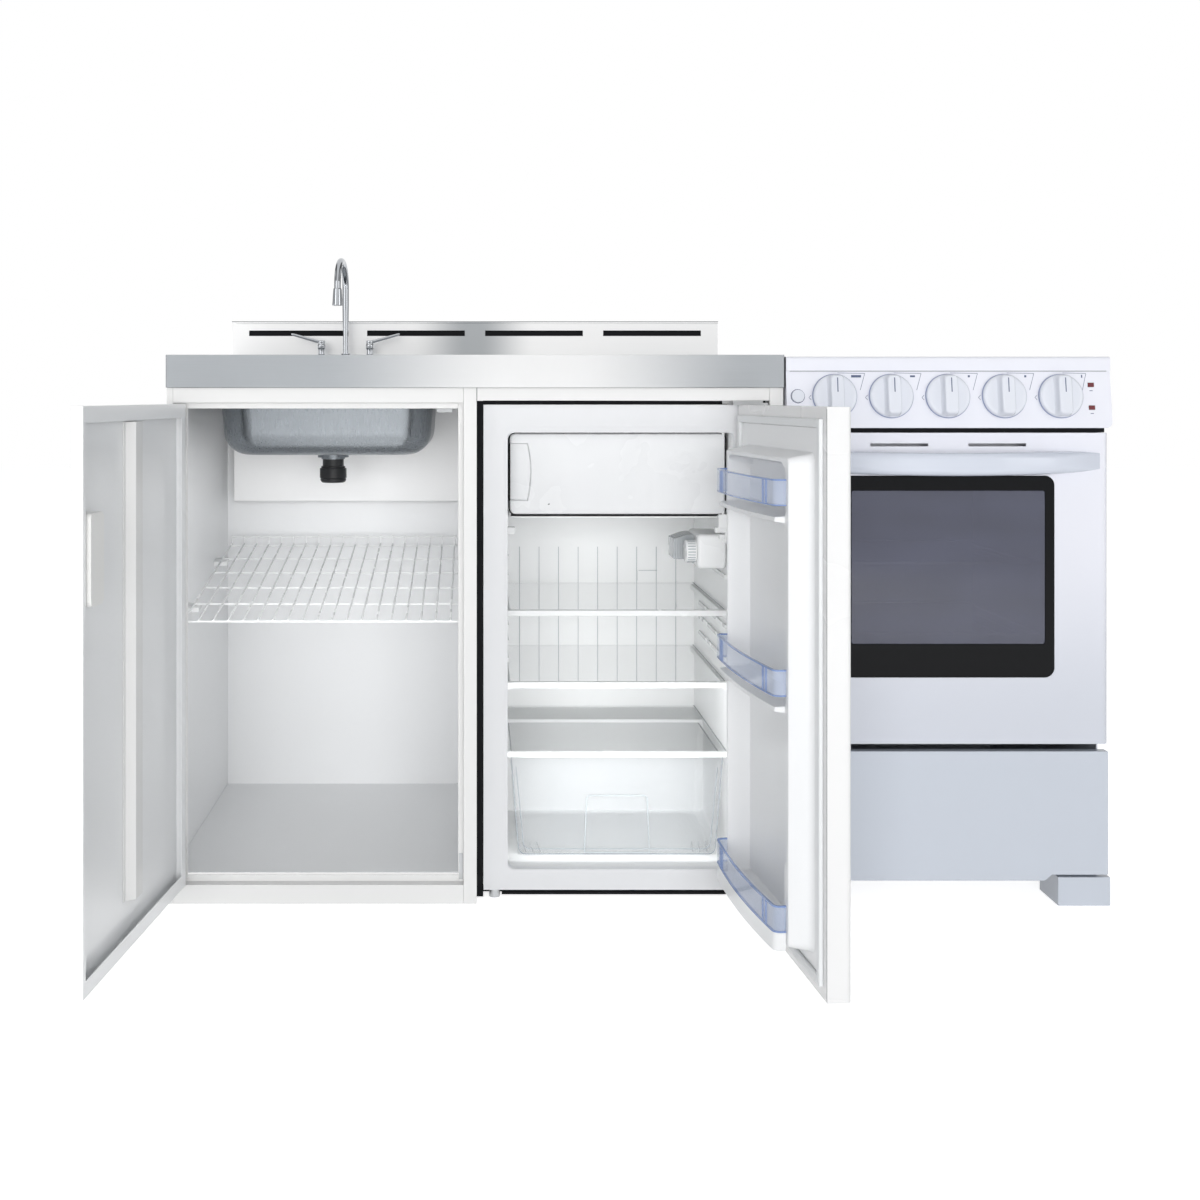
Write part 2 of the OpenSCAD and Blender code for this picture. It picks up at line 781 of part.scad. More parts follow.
module rear_apron() {
    apron_in = 22;
    apron_d = 58;
    apron_y = cabinet_back_y - apron_d;
    flange = 30;
    x0 = inner_x0 + apron_in;
    x1 = inner_x1 - apron_in + 4;
    color("whitesmoke") {
        span([x0, apron_y, edge_z - apron_h], [x1, apron_y + panel_t, edge_z - seam]);
        span([x0, apron_y, edge_z - apron_h], [x0 + panel_t, cabinet_back_y - panel_t - seam,
            edge_z - seam]);
        span([x1 - panel_t, apron_y, edge_z - apron_h], [x1, cabinet_back_y - panel_t - seam,
            edge_z - seam]);
        span([x0, apron_y, edge_z - apron_h], [x1, apron_y + flange, edge_z - apron_h + panel_t]);
    }
}

// Carries a piece from the level shelf to its tilted place; the front edge is at y = 0, z = 0
module at_wire_shelf() {
    shelf_y = frame_back_y + 20;
    translate([(inner_x0 + inner_x1) / 2, shelf_y, shelf_front_h]) rotate([shelf_tilt, 0, 0]) children();
}

module wire_shelf() {
    side_room = 16;
    shelf_w = inner_x1 - inner_x0 - 2 * side_room;
    pitch = shelf_w / (wire_count - 1);
    sides = 8;
    bite = 0.4;
    cross_z = -2 * wire_r + bite;
    row_in = 4;
    row_pitch = (wire_shelf_l - 2 * row_in) / wire_rows;
    clip_h = 8;
    clip_l = 30;
    clip_w = side_room + 8;
    color("white") at_wire_shelf() {
        for (i = [0 : wire_count - 1])
            translate([-shelf_w / 2 + i * pitch, 0, 0]) {
                rotate([-90, 0, 0]) cylinder(r = wire_r, h = wire_shelf_l, $fn = sides);
                translate([0, wire_shelf_l, -wire_r]) cylinder(r = wire_r, h = wire_lip_h, $fn = sides);
            }
        for (row = [0 : wire_rows])
            translate([-shelf_w / 2 - wire_r, row_in + row * row_pitch, cross_z])
                rotate([0, 90, 0]) cylinder(r = wire_r, h = shelf_w + 2 * wire_r, $fn = sides);
        translate([-shelf_w / 2 - wire_r, wire_shelf_l + 2 * wire_r - bite, wire_lip_h - 3 * wire_r])
            rotate([0, 90, 0]) cylinder(r = wire_r, h = shelf_w + 2 * wire_r, $fn = sides);
    }
    color("white") at_wire_shelf()
        for (side = [-1, 1], row = [1, wire_rows - 1])
            translate([side * ((inner_x1 - inner_x0) / 2 - seam - clip_w / 2) - clip_w / 2,
                       row_in + row * row_pitch - clip_l / 2, cross_z - wire_r - clear - clip_h])
                cube([clip_w, clip_l, clip_h]);
}

// Hinge knuckles: the frame carries the two outer ones and the pin, the door the middle one
module knuckles(z, outer) {
    third = hinge_l / 3;
    for (i = outer ? [0, 2] : [1])
        translate([hinge_x, hinge_y, z + i * third + clear / 2])
            ring(barrel_r, hinge_pin_r + (outer ? 0 : pin_fit), third - clear);
    if (outer)
        translate([hinge_x, hinge_y, z + clear / 2]) cylinder(r = hinge_pin_r, h = hinge_l - clear);
}

module leaf(z, x) {
    span([x, hinge_y + hinge_pin_r + 1, z], [x + leaf_t, hinge_y + hinge_pin_r + 1 + leaf_l, z + hinge_l]);
}

module frame_leaf(z) {
    third = hinge_l / 3;
    difference() {
        leaf(z, hinge_x - hinge_gap / 2 + 0.1);
        span([hinge_x - barrel_r - 1, hinge_y - barrel_r, z + third - clear / 2],
             [hinge_x + barrel_r + 1, hinge_y + barrel_r + clear, z + 2 * third + clear / 2]);
    }
}

module door_leaf(z) {
    third = hinge_l / 3;
    difference() {
        leaf(z, hinge_x + hinge_gap / 2 - leaf_t - 0.15);
        for (i = [0, 2])
            span([hinge_x - barrel_r - 1, hinge_y - barrel_r, z + i * third - clear / 2],
                 [hinge_x + barrel_r + 1, hinge_y + barrel_r + clear, z + (i + 1) * third + clear / 2]);
    }
}

module frame_hinges_and_catches() {
    strip_t = door_gap - 2 * clear;
    strip_h = 42;
    strip_w = stop_lips[1] - 2.9;
    catch_w = 24;
    catch_d = 20;
    catch_h = 6;
    catch_in = 41;
    color("silver") for (z = hinge_levels) {
        knuckles(z, true);
        frame_leaf(z);
    }
    color("dimgray") {
        translate([bay_x - mid_post_w - stop_lips[1] + 1.5, stop_y - seam - strip_t, bottom_rail_h + 4])
            cube([strip_w, strip_t, strip_h]);
        translate([door_x1 - catch_in, stop_y + seam, rail_z - stop_lips[2] - seam - catch_h])
            cube([catch_w, catch_d, catch_h]);
    }
}

module door_skin() {
    flange_w = 22;
    free_flange = 10;
    color("white") at_cabinet_door() difference() {
        span([door_x0, frame_y, door_z0], [door_x1, door_back_y, door_z1]);
        span([door_x0 + skin_t, frame_y + skin_t, door_z0 + skin_t],
             [door_x1 - skin_t, door_back_y - skin_t, door_z1 - skin_t]);
        span([door_x0 + flange_w, frame_y + skin_t, door_z0 + flange_w],
             [door_x1 - free_flange, door_back_y + eps, door_z1 - flange_w]);
        upright_plate(door_x1 - pull_from_edge, pull_z, frame_y - eps, skin_t + 2 * eps,
                      pull_w - pull_ledge, pull_h - pull_ledge, pull_r);
    }
}

module door_stiffener() {
    top_gap = 24;
    foot_gap = 60;
    lip = 9;
    t = 1.2;
    crest_t = 1.4;
    slant = 1;
    w = stiffener_w / 2;
    base = frame_y + skin_t + seam;
    crest = door_back_y - 2;
    color("whitesmoke") at_cabinet_door()
        translate([(door_x0 + door_x1) / 2, 0, door_z0 + foot_gap])
            linear_extrude(door_z1 - door_z0 - foot_gap - top_gap) polygon([
                [-w, base], [-w + lip, base], [-w + 2 * lip, crest],
                [w - 2 * lip, crest], [w - lip, base], [w, base],
                [w, base + t], [w - lip + slant, base + t], [w - 2 * lip + slant, crest + crest_t],
                [-w + 2 * lip - slant, crest + crest_t], [-w + lip - slant, base + t], [-w, base + t]
            ]);
}

module door_pull() {
    x = door_x1 - pull_from_edge;
    wall = 2;
    rim = 3;
    neck_w = pull_w - pull_ledge - 2 * seam;
    neck_h = pull_h - pull_ledge - 2 * seam;
    cup_w = pull_w - pull_ledge - 2 * rim;
    cup_h = pull_h - pull_ledge - 2 * rim;
    color("white") at_cabinet_door() difference() {
        union() {
            upright_plate(x, pull_z, frame_y + skin_t + seam, pull_d - skin_t, pull_w, pull_h, pull_r + 2);
            upright_plate(x, pull_z, frame_y - 1, skin_t + 1 + 2 * seam, neck_w, neck_h, pull_r);
        }
        upright_plate(x, pull_z, frame_y - 1 - eps, pull_d - wall, cup_w, cup_h, pull_r - 2);
    }
}

module door_hinge_leaves() {
    color("silver") at_cabinet_door() for (z = hinge_levels) {
        knuckles(z, false);
        door_leaf(z);
    }
}

// ---------- refrigerator ----------

module fridge_shell() {
    color("white") {
        hollow_box([fridge_x0, fridge_y0, fridge_z0], [cavity_x0, fridge_y1, fridge_z1]);
        hollow_box([cavity_x1, fridge_y0, fridge_z0], [fridge_x1, fridge_y1, fridge_z1]);
        hollow_box([cavity_x0 + seam, fridge_y0, cavity_z1], [cavity_x1 - seam, fridge_y1, fridge_z1]);
        hollow_box([cavity_x0 + seam, fridge_y0, fridge_z0], [cavity_x1 - seam, step_y + fridge_wall,
            cavity_z0]);
        hollow_box([cavity_x0 + seam, step_y, cavity_z0 + seam],
             [cavity_x1 - seam, step_y + fridge_wall, step_z - fridge_wall - seam]);
        hollow_box([cavity_x0 + seam, step_y, step_z - fridge_wall], [cavity_x1 - seam, fridge_y1, step_z]);
        hollow_box([cavity_x0 + seam, cavity_y1, step_z + seam], [cavity_x1 - seam, fridge_y1,
            cavity_z1 - seam]);
    }
}

module shelf_ledges(z) {
    for (x = [room_x0 - eps, room_x1 - ledge_w + eps])
        translate([x, contents_y + 14, z - clear - ledge_h])
            cube([ledge_w, room_y1 - contents_y - 14, ledge_h]);
}

module fridge_liner() {
    rib_count = 9;
    rib_pitch = 38;
    rib_w = 2;
    rib_z = crisper_lid_z + 45;
    mid_x = (cavity_x0 + cavity_x1) / 2;
    mid_z = (cavity_z0 + cavity_z1) / 2;
    w = cavity_x1 - cavity_x0;
    h = cavity_z1 - cavity_z0;
    depth = cavity_y1 - fridge_y0;
    color("whitesmoke") {
        difference() {
            span([fridge_x0, fridge_y0 - liner_t, fridge_z0], [fridge_x1, fridge_y0, fridge_z1]);
            upright_plate(mid_x, mid_z, fridge_y0 - 2 * liner_t, 3 * liner_t, w - 2 * liner_t,
                          h - 2 * liner_t, liner_r - liner_t);
        }
        difference() {
            upright_plate(mid_x, mid_z, fridge_y0 - eps, depth - seam, w - 2 * seam, h - 2 * seam, liner_r);
            upright_plate(mid_x, mid_z, fridge_y0 - 2 * eps, depth - liner_t, w - 2 * liner_t,
                          h - 2 * liner_t, liner_r - liner_t);
            span([cavity_x0 - 1, step_y - liner_t, cavity_z0 - 1], [cavity_x1 + 1, cavity_y1 + 1,
                step_z + liner_t]);
        }
        span([cavity_x0 + seam, step_y - liner_t, cavity_z0 + seam], [cavity_x1 - seam,
            step_y - seam, step_z + liner_t]);
        span([cavity_x0 + seam, step_y - liner_t, step_z + seam],
             [cavity_x1 - seam, cavity_y1 - seam, step_z + liner_t]);
        for (i = [0 : rib_count - 1])
            translate([mid_x + (i - (rib_count - 1) / 2) * rib_pitch, room_y1 - rib_w / 2 + eps, rib_z])
                cube([rib_w, rib_w, housing_z - rib_z]);
        for (z = shelf_levels) shelf_ledges(z - shelf_glass_t);
    }
}

module freezer_box() {
    y0 = freezer_door_y + freezer_door_t + 2;
    y1 = room_y1 - 4;
    z1 = room_z1 - clear;
    color("gainsboro") {
        span([freezer_x0, y0, freezer_z0], [freezer_x1, y1, freezer_z0 + freezer_t]);
        span([freezer_x0, y0, z1 - freezer_t], [freezer_x1, y1, z1]);
        span([freezer_x0, y0, freezer_z0 + freezer_t + seam], [freezer_x0 + freezer_t, y1,
            z1 - freezer_t - seam]);
        span([freezer_x1 - freezer_t, y0, freezer_z0 + freezer_t + seam], [freezer_x1, y1,
            z1 - freezer_t - seam]);
        span([freezer_x0 + freezer_t + seam, y1 - freezer_t, freezer_z0 + freezer_t + seam],
             [freezer_x1 - freezer_t - seam, y1, z1 - freezer_t - seam]);
    }
    bracket_h = 22;
    bracket_side = 8;
    cap_side = 6;
    fore = 5;
    aft = 14;
    pin_l = 10;
    foot = freezer_door_z0 - clear;
    head = freezer_door_z1 + clear;
    color("white") {
        span([freezer_pin_x - bracket_side, freezer_pin_y - fore, foot - bracket_h],
             [room_x1 - seam, freezer_pin_y + aft, foot]);
        span([freezer_pin_x - cap_side, freezer_pin_y - fore, head],
             [freezer_x1, freezer_pin_y + aft, room_z1 - clear]);
        translate([freezer_pin_x, freezer_pin_y, foot - eps]) cylinder(r = freezer_pin_r, h = pin_l);
        translate([freezer_pin_x, freezer_pin_y, head + eps - pin_l])
            cylinder(r = freezer_pin_r, h = pin_l);
    }
}

module freezer_door() {
    h = freezer_door_z1 - freezer_door_z0;
    grip_r = 52;
    grip_d = 9;
    grip_out = 18;
    bore_l = 12;
    color("white") difference() {
        span([freezer_x0, freezer_door_y, freezer_door_z0],
             [freezer_x1, freezer_door_y + freezer_door_t, freezer_door_z1]);
        translate([freezer_x0 - grip_out, freezer_door_y + grip_d, freezer_door_z0 + h / 2])
            rotate([90, 0, 0]) cylinder(r = grip_r, h = grip_d + eps);
        for (z = [freezer_door_z0 - eps, freezer_door_z1 + eps - bore_l])
            translate([freezer_pin_x, freezer_pin_y, z]) cylinder(r = freezer_pin_r + pin_fit, h = bore_l);
    }
}

module thermostat_housing() {
    lamp_w = 34;
    lamp_y = [42, 6];
    lamp_z = [12, 4];
    color("white") {
        span([housing_x0, housing_y0, housing_z], [room_x1 - seam, housing_y0 + housing_l,
            housing_z + housing_h]);
        translate([housing_x0 + eps, dial_y, dial_z]) rotate([0, -90, 0]) cylinder(r = spindle_r,
            h = dial_w - 2);
    }
    color("lightcyan")
        span([housing_x0 - lamp_w, housing_y0 + lamp_y[0], housing_z + lamp_z[0]],
             [housing_x0 - seam, housing_y0 + housing_l - lamp_y[1], housing_z + housing_h - lamp_z[1]]);
}

module thermostat_dial() {
    color("white") translate([housing_x0 - clear, dial_y, dial_z]) rotate([0, -90, 0]) difference() {
        cylinder(r = dial_r, h = dial_w);
        translate([0, 0, -eps]) cylinder(r = spindle_r + pin_fit, h = dial_w - 1);
    }
}

module glass_shelf(z_top) {
    color("azure") {
        span([room_x0 + shelf_side_gap, contents_y, z_top - shelf_glass_t],
             [room_x1 - shelf_side_gap, room_y1 - shelf_back_gap, z_top]);
        span([room_x0 + shelf_side_gap, contents_y, z_top - shelf_trim_h + 1],
             [room_x1 - shelf_side_gap, contents_y + trim_d, z_top + 1]);
    }
}

module fridge_shelf_upper() {
    glass_shelf(shelf_levels[0]);
}

module fridge_shelf_lower() {
    glass_shelf(shelf_levels[1]);
}

module crisper_cover() {
    trim_drop = 3;
    trim_up = 1.5;
    color("azure") {
        span([room_x0 + seam, contents_y, crisper_lid_z],
             [room_x1 - seam, room_y1 - shelf_back_gap, crisper_lid_z + shelf_glass_t]);
        span([room_x0 + seam, contents_y - 1, crisper_lid_z - trim_drop],
             [room_x1 - seam, contents_y + trim_d, crisper_lid_z + shelf_glass_t + trim_up]);
    }
}

module crisper_form(inset, lift) {
    side = 7;
    taper = 12;
    front_gap = 12;
    back_gap = 3;
    lid_gap = 5;
    y0 = contents_y + front_gap;
    y1 = step_y - liner_t - back_gap;
    z0 = room_z0 + clear + lift;
    z1 = crisper_lid_z - lid_gap + (lift > 0 ? 1 : 0);
    hull() {
        span([room_x0 + side + taper + inset, y0 + inset, z0], [room_x1 - side - taper - inset,
            y1 - taper - inset, z0 + 1]);
        span([room_x0 + side + inset, y0 + inset, z1 - 1], [room_x1 - side - inset, y1 - inset, z1]);
    }
}

module crisper_drawer() {
    wall = 2.5;
    color("azure") difference() {
        crisper_form(0, 0);
        crisper_form(wall, wall);
    }
}

module fridge_hinges_and_feet() {
    plate_w = 56;
    plate_x0 = fridge_x1 - 49;
    plate_y0 = fridge_door_out_y + 4;
    plate_y1 = fridge_y0 + 22;
    pin_l = 13;
    foot_r = 9;
    foot_in = 20;
    foot_y = fridge_y0 + 8;
    top = fridge_z1 + seam;
    base = fridge_z0 - seam;
    color("white") {
        span([plate_x0, plate_y0, top], [plate_x0 + plate_w, plate_y1, top + hinge_plate_t]);
        translate([fridge_pin_x, fridge_pin_y, top + eps - pin_l]) cylinder(r = fridge_pin_r, h = pin_l);
    }
    color("dimgray") {
        span([plate_x0, frame_y, top + hinge_plate_t + seam],
             [fridge_x1, frame_back_y - seam, edge_z - bay_rail_h - seam]);
        span([plate_x0, plate_y0, base - hinge_plate_t], [plate_x0 + plate_w - 8, plate_y1, base]);
        translate([fridge_pin_x, fridge_pin_y, base - eps]) cylinder(r = fridge_pin_r, h = pin_l);
        translate([fridge_pin_x + 4, foot_y, 0]) cylinder(r = foot_r, h = base - hinge_plate_t - seam);
        translate([fridge_x0 + 18, foot_y, 0]) cylinder(r = foot_r, h = base);
        for (x = [fridge_x0 + foot_in, fridge_x1 - foot_in])
            translate([x, fridge_y1 - 30, 0]) cylinder(r = foot_r, h = base);
    }
}

module cooling_unit() {
    pot_r = 52;
    pot_h = 100;
    pot_in = 110;
    tray_t = 3;
    tank_r = 12;
    tank_h = 96;
    tank_gap = 22;
    bar_r = 2.5;
    bar_count = 13;
    bar_pitch = 42;
    grid_in = 30;
    grid_z = fridge_z0 + step_h + 8;
    grid_y = fridge_y1 + 5;
    grid_top = grid_z + (bar_count - 1) * bar_pitch;
    x0 = fridge_x0 + grid_in;
    x1 = fridge_x1 - grid_in;
    pot_x = cavity_x1 - pot_in;
    pot_y = (step_y + fridge_wall + fridge_y1) / 2;
    pot_z = fridge_z0 + tray_t - eps;
    clip = 5;
    over = 8;
    color("dimgray") {
        span([cavity_x0 + seam, step_y + fridge_wall + seam, fridge_z0],
             [cavity_x1 - seam, fridge_y1, fridge_z0 + tray_t]);
        translate([pot_x, pot_y, pot_z]) rotate_extrude() polygon([
            [0, 0], [pot_r * 0.7, 0], [pot_r * 0.7, 12], [pot_r, 28], [pot_r, pot_h - 34],
            [pot_r * 0.86, pot_h - 14], [pot_r * 0.5, pot_h - 2], [0, pot_h]
        ]);
        translate([pot_x - pot_r - tank_gap, pot_y, pot_z]) cylinder(r = tank_r, h = tank_h);
        for (i = [0 : bar_count - 1])
            translate([x0, grid_y, grid_z + i * bar_pitch]) rotate([0, 90, 0])
                cylinder(r = bar_r, h = x1 - x0, $fn = 8);
        for (x = [x0 + 2 * clip, (x0 + x1) / 2, x1 - 2 * clip])
            span([x - clip, fridge_y1 + seam, grid_z - over], [x + clip, grid_y, grid_top + over]);
    }
}

module fridge_door_panel() {
    round_r = 7;
    bore_l = 15;
    w = fridge_x1 - fridge_x0;
    color("white") at_fridge_door() difference() {
        translate([(fridge_x0 + fridge_x1) / 2, 0, fridge_z0]) linear_extrude(fridge_z1 - fridge_z0) {
            translate([-w / 2, fridge_door_out_y + round_r]) square([w, fridge_door_t - round_r]);
            translate([-w / 2 + round_r, fridge_door_out_y]) square([w - 2 * round_r, round_r + eps]);
            for (side = [-1, 1])
                translate([side * (w / 2 - round_r), fridge_door_out_y + round_r]) circle(round_r);
        }
        for (z = [fridge_z0 - eps, fridge_z1 + eps - bore_l])
            translate([fridge_pin_x, fridge_pin_y, z]) cylinder(r = fridge_pin_r + pin_fit, h = bore_l);
        span([fridge_x0 + round_r, fridge_door_out_y + wall_skin, fridge_z0 + bore_l + 2],
             [fridge_x1 - round_r, fridge_door_in_y - wall_skin, fridge_z1 - bore_l - 2]);
    }
}

module fridge_door_liner() {
    in = gasket_in + gasket_w + 1;
    y0 = fridge_door_in_y + seam;
    y1 = fridge_door_in_y + liner_t;
    ridge_y = fridge_door_in_y + ridge_d;
    z_lo = cavity_z0 + 14;
    z_hi = cavity_z1 - 18;
    floor_x0 = ridge_x0 + ridge_w + seam;
    floor_x1 = ridge_x1 - ridge_w - seam;
    floor_y = rack_front_y - rack_wall - 2;
    floor_t = 11;
    color("whitesmoke") at_fridge_door() {
        span([fridge_x0 + in, y0, fridge_z0 + in], [fridge_x1 - in, y1, fridge_z1 - in]);
        for (x = [ridge_x0, ridge_x1 - ridge_w])
            span([x, y1 + seam, z_lo], [x + ridge_w, ridge_y, z_hi]);
        span([floor_x0, y1 + seam, z_hi - floor_t - 8], [floor_x1, ridge_y, z_hi]);
        for (z = rack_levels)
            span([floor_x0, y1 + seam, z - rack_floor_drop - floor_t],
                 [floor_x1, floor_y, z - rack_floor_drop]);
        span([floor_x0, floor_y + seam, rack_levels[2] - rack_floor_drop - floor_t],
             [floor_x1, floor_y + 3, rack_levels[2] - 2 * clear]);
    }
}

module door_gasket() {
    x0 = fridge_x0 + gasket_in;
    x1 = fridge_x1 - gasket_in;
    z0 = fridge_z0 + gasket_in;
    z1 = fridge_z1 - gasket_in;
    y0 = fridge_door_in_y;
    y1 = fridge_door_in_y + gasket_t;
    color("lightgray") at_fridge_door() {
        span([x0, y0, z0], [x0 + gasket_w, y1, z1]);
        span([x1 - gasket_w, y0, z0], [x1, y1, z1]);
        span([x0 + gasket_w + seam, y0, z0], [x1 - gasket_w - seam, y1, z0 + gasket_w]);
        span([x0 + gasket_w + seam, y0, z1 - gasket_w], [x1 - gasket_w - seam, y1, z1]);
    }
}

module door_rails() {
    x0 = ridge_x0 + ridge_w - 8;
    x1 = ridge_x1 - ridge_w + 8;
    wing_y = fridge_door_in_y + ridge_d + seam;
    foot = 3;
    color("lightsteelblue") at_fridge_door() for (z = rack_levels) {
        span([x0, rack_front_y - rack_wall, z], [x1, rack_front_y, z + rack_rail_h]);
        span([x0, wing_y, z], [x0 + rack_wall, rack_front_y, z + rack_rail_h]);
        span([x1 - rack_wall, wing_y, z], [x1, rack_front_y, z + rack_rail_h]);
        span([x0, wing_y, z - foot], [x0 + 8, rack_front_y, z + eps]);
        span([x1 - 8, wing_y, z - foot], [x1, rack_front_y, z + eps]);
    }
}

// ---------- range ----------

module range_shell() {
    x0 = range_x;
    x1 = range_right;
    z1 = cooktop_z0 - seam;
    z0 = range_foot_h;
    in0 = x0 + range_t + seam;
    in1 = x1 - range_t - seam;
    back = range_y1 - range_t - seam;
    plate_t = 4;
    recess_t = 2;
    shelf_z = oven_door_z - 9;
    color("white") {
        span([x0, side_y0, z0], [x0 + range_t, range_y1, z1]);
        span([x1 - range_t, side_y0, z0], [x1, range_y1, z1]);
        span([in0, range_y1 - range_t, z0], [in1, range_y1, z1]);
        span([in0, side_y0, z0], [in1, back, z0 + range_t]);
        span([in0, oven_front_y, oven_z1 + seam], [in1, oven_front_y + plate_t, z1]);
        span([in0, oven_front_y, oven_floor_h], [oven_x0 - seam, oven_front_y + plate_t, oven_z1]);
        span([oven_x1 + seam, oven_front_y, oven_floor_h], [in1, oven_front_y + plate_t, oven_z1]);
        span([in0, recess_y, shelf_z], [in1, recess_y + recess_t, oven_floor_h - oven_liner_t - seam]);
        span([in0, side_y0, shelf_z - recess_t], [in1, back, shelf_z - seam]);
    }
    pin_out = 7;
    color("silver") for (x = [range_x + arm_in, range_right - arm_in - arm_w]) {
        span([x, oven_pin_y, oven_pin_z - 7], [x + arm_w, recess_y - seam, oven_pin_z + 5]);
        translate([x - pin_out, oven_pin_y, oven_pin_z]) rotate([0, 90, 0])
            cylinder(r = oven_pin_r, h = arm_w + 2 * pin_out);
    }
}

module range_feet() {
    cover_d = 80;
    wall = 3;
    post_r = 14;
    post_in = 40;
    z1 = range_foot_h - seam;
    color("white") for (x = [range_x, range_right - leg_cover_w])
        channel([x, front_y, 0], [x + leg_cover_w, front_y + cover_d, z1], wall);
    color("dimgray") for (x = [range_x + post_in, range_right - post_in],
            y = [front_y + cover_d - post_in / 2, range_y1 - post_in])
        translate([x, y, 0]) cylinder(r = post_r, h = z1);
}

module cooktop_frame() {
    ledge = 8;
    round_r = 6;
    color("white") difference() {
        translate([range_x, 0, 0]) rotate([90, 0, 90]) linear_extrude(range_w) {
            square_y0 = front_y + round_r;
            translate([square_y0, cooktop_z0]) square([range_y1 - square_y0, cooktop_h]);
            translate([front_y, cooktop_z0]) square([round_r + eps, cooktop_h - round_r]);
            translate([square_y0, range_h - round_r]) circle(round_r);
        }
        span([range_x + cooktop_rim, front_y + cooktop_rim, range_h - cooktop_glass_t - seam],
             [range_right - cooktop_rim, range_y1 - cooktop_rim, range_h + eps]);
        span([range_x + cooktop_rim + ledge, front_y + cooktop_rim + ledge, cooktop_z0 - eps],
             [range_right - cooktop_rim - ledge, range_y1 - cooktop_rim - ledge, range_h]);
    }
}

module cooktop_glass() {
    color("dimgray")
        span([range_x + cooktop_rim + seam, front_y + cooktop_rim + seam, range_h - cooktop_glass_t],
             [range_right - cooktop_rim - seam, range_y1 - cooktop_rim - seam, range_h]);
}

module heating_elements() {
    dish_h = 22;
    radii = [92, 72];
    element_low = 14;
    element_high = 30;
    dish_x = 118;
    dish_y = 142;
    top = range_h - cooktop_glass_t - seam;
    mid_y = (front_y + range_y1) / 2;
    color("silver") for (i = [-1, 1], j = [-1, 1])
        translate([range_cx + i * dish_x, mid_y + j * dish_y, top - dish_h])
            cylinder(r = radii[i * j > 0 ? 0 : 1], h = dish_h);
    rod_r = 4;
    rod_in = 45;
    rod_l = oven_d - 2 * rod_in;
    color("dimgray") for (z = [oven_floor_h + element_low, oven_z1 - element_high]) {
        for (x = [oven_x0 + rod_in, oven_x1 - rod_in])
            translate([x, oven_y1 - seam, z]) rotate([90, 0, 0]) cylinder(r = rod_r, h = rod_l);
        translate([oven_x0 + rod_in, oven_y1 - rod_l + rod_r, z]) rotate([0, 90, 0])
            cylinder(r = rod_r, h = oven_w - 2 * rod_in);
    }
}

module controls_profile(inset) {
    polygon([
        [controls_y0 + inset, controls_z0 + inset],
        [oven_front_y - seam - inset, controls_z0 + inset],
        [oven_front_y - seam - inset, cooktop_z0 - seam - inset],
        [controls_y0 + controls_lean + inset, cooktop_z0 - seam - inset]
    ]);
}

module control_panel() {
    corner_r = 10;
    reach = oven_front_y - controls_y0;
    color("white") difference() {
        translate([range_x, 0, 0]) rotate([90, 0, 90]) linear_extrude(range_w) controls_profile(0);
        translate([range_x + range_t, 0, 0]) rotate([90, 0, 90])
            linear_extrude(range_w - 2 * range_t) controls_profile(range_t);
        for (i = [0 : knob_count - 1])
            at_controls(knob_x(i), knob_face_y, knob_z)
                translate([0, shaft_l / 2, 0]) rotate([90, 0, 0])
                    cylinder(r = shaft_r + clear, h = shaft_l);
        at_controls(range_x + button_x, knob_face_y, knob_z)
            translate([0, shaft_l / 2, 0]) rotate([90, 0, 0]) cylinder(r = button_r + clear, h = shaft_l);
        for (side = [-1, 1])
            at_controls(range_x + lamp_x, knob_face_y, knob_z)
                translate([-lens_w / 2 - seam, -5, side * lamp_spread - lens_h / 2 - seam])
                    cube([lens_w + 2 * seam, 10, lens_h + 2 * seam]);
        // The two lower front corners are rounded in the front view
        for (side = [-1, 1]) translate([side < 0 ? range_x : range_right, controls_y0 - 1, controls_z0])
            rotate([-90, 0, 0]) linear_extrude(reach / 2) difference() {
                square(2 * corner_r, center = true);
                translate([-side * corner_r, -corner_r]) circle(corner_r);
            }
    }
}

module indicator_lights() {
    color("firebrick") for (side = [-1, 1])
        at_controls(range_x + lamp_x, knob_face_y, knob_z)
            translate([-lens_w / 2, -1, side * lamp_spread - lens_h / 2])
                cube([lens_w, range_t + 4, lens_h]);
}

module switch_bodies() {
    back = 24;
    bore_over = 4;
    case_h = 16;
    case_d = 20;
    bracket_w = 3;
    bracket_d = 12;
    color("dimgray") {
        for (i = [0 : knob_count - 1])
            at_controls(knob_x(i), knob_face_y, knob_z) difference() {
                translate([-switch_size / 2, range_t + seam, -switch_size / 2])
                    cube([switch_size, back, switch_size]);
                translate([0, range_t + shaft_l + bore_over / 2, 0]) rotate([90, 0, 0])
                    cylinder(r = shaft_r + clear, h = shaft_l + bore_over);
            }
        at_controls(range_x + button_x, knob_face_y, knob_z) {
            translate([-button_r, button_seat, -case_h / 2])
                cube([2 * button_r + 1 + bracket_w, case_d, case_h]);
            translate([button_r + 1, range_t + seam, -case_h / 2]) cube([bracket_w, bracket_d, case_h]);
        }
    }
}

module light_button() {
    proud = 4;
    back = button_seat - button_travel - 2 * clear;
    color("white") at_controls(range_x + button_x, knob_face_y, knob_z)
        translate([0, back, 0]) rotate([90, 0, 0]) cylinder(r = button_r, h = proud + back);
}

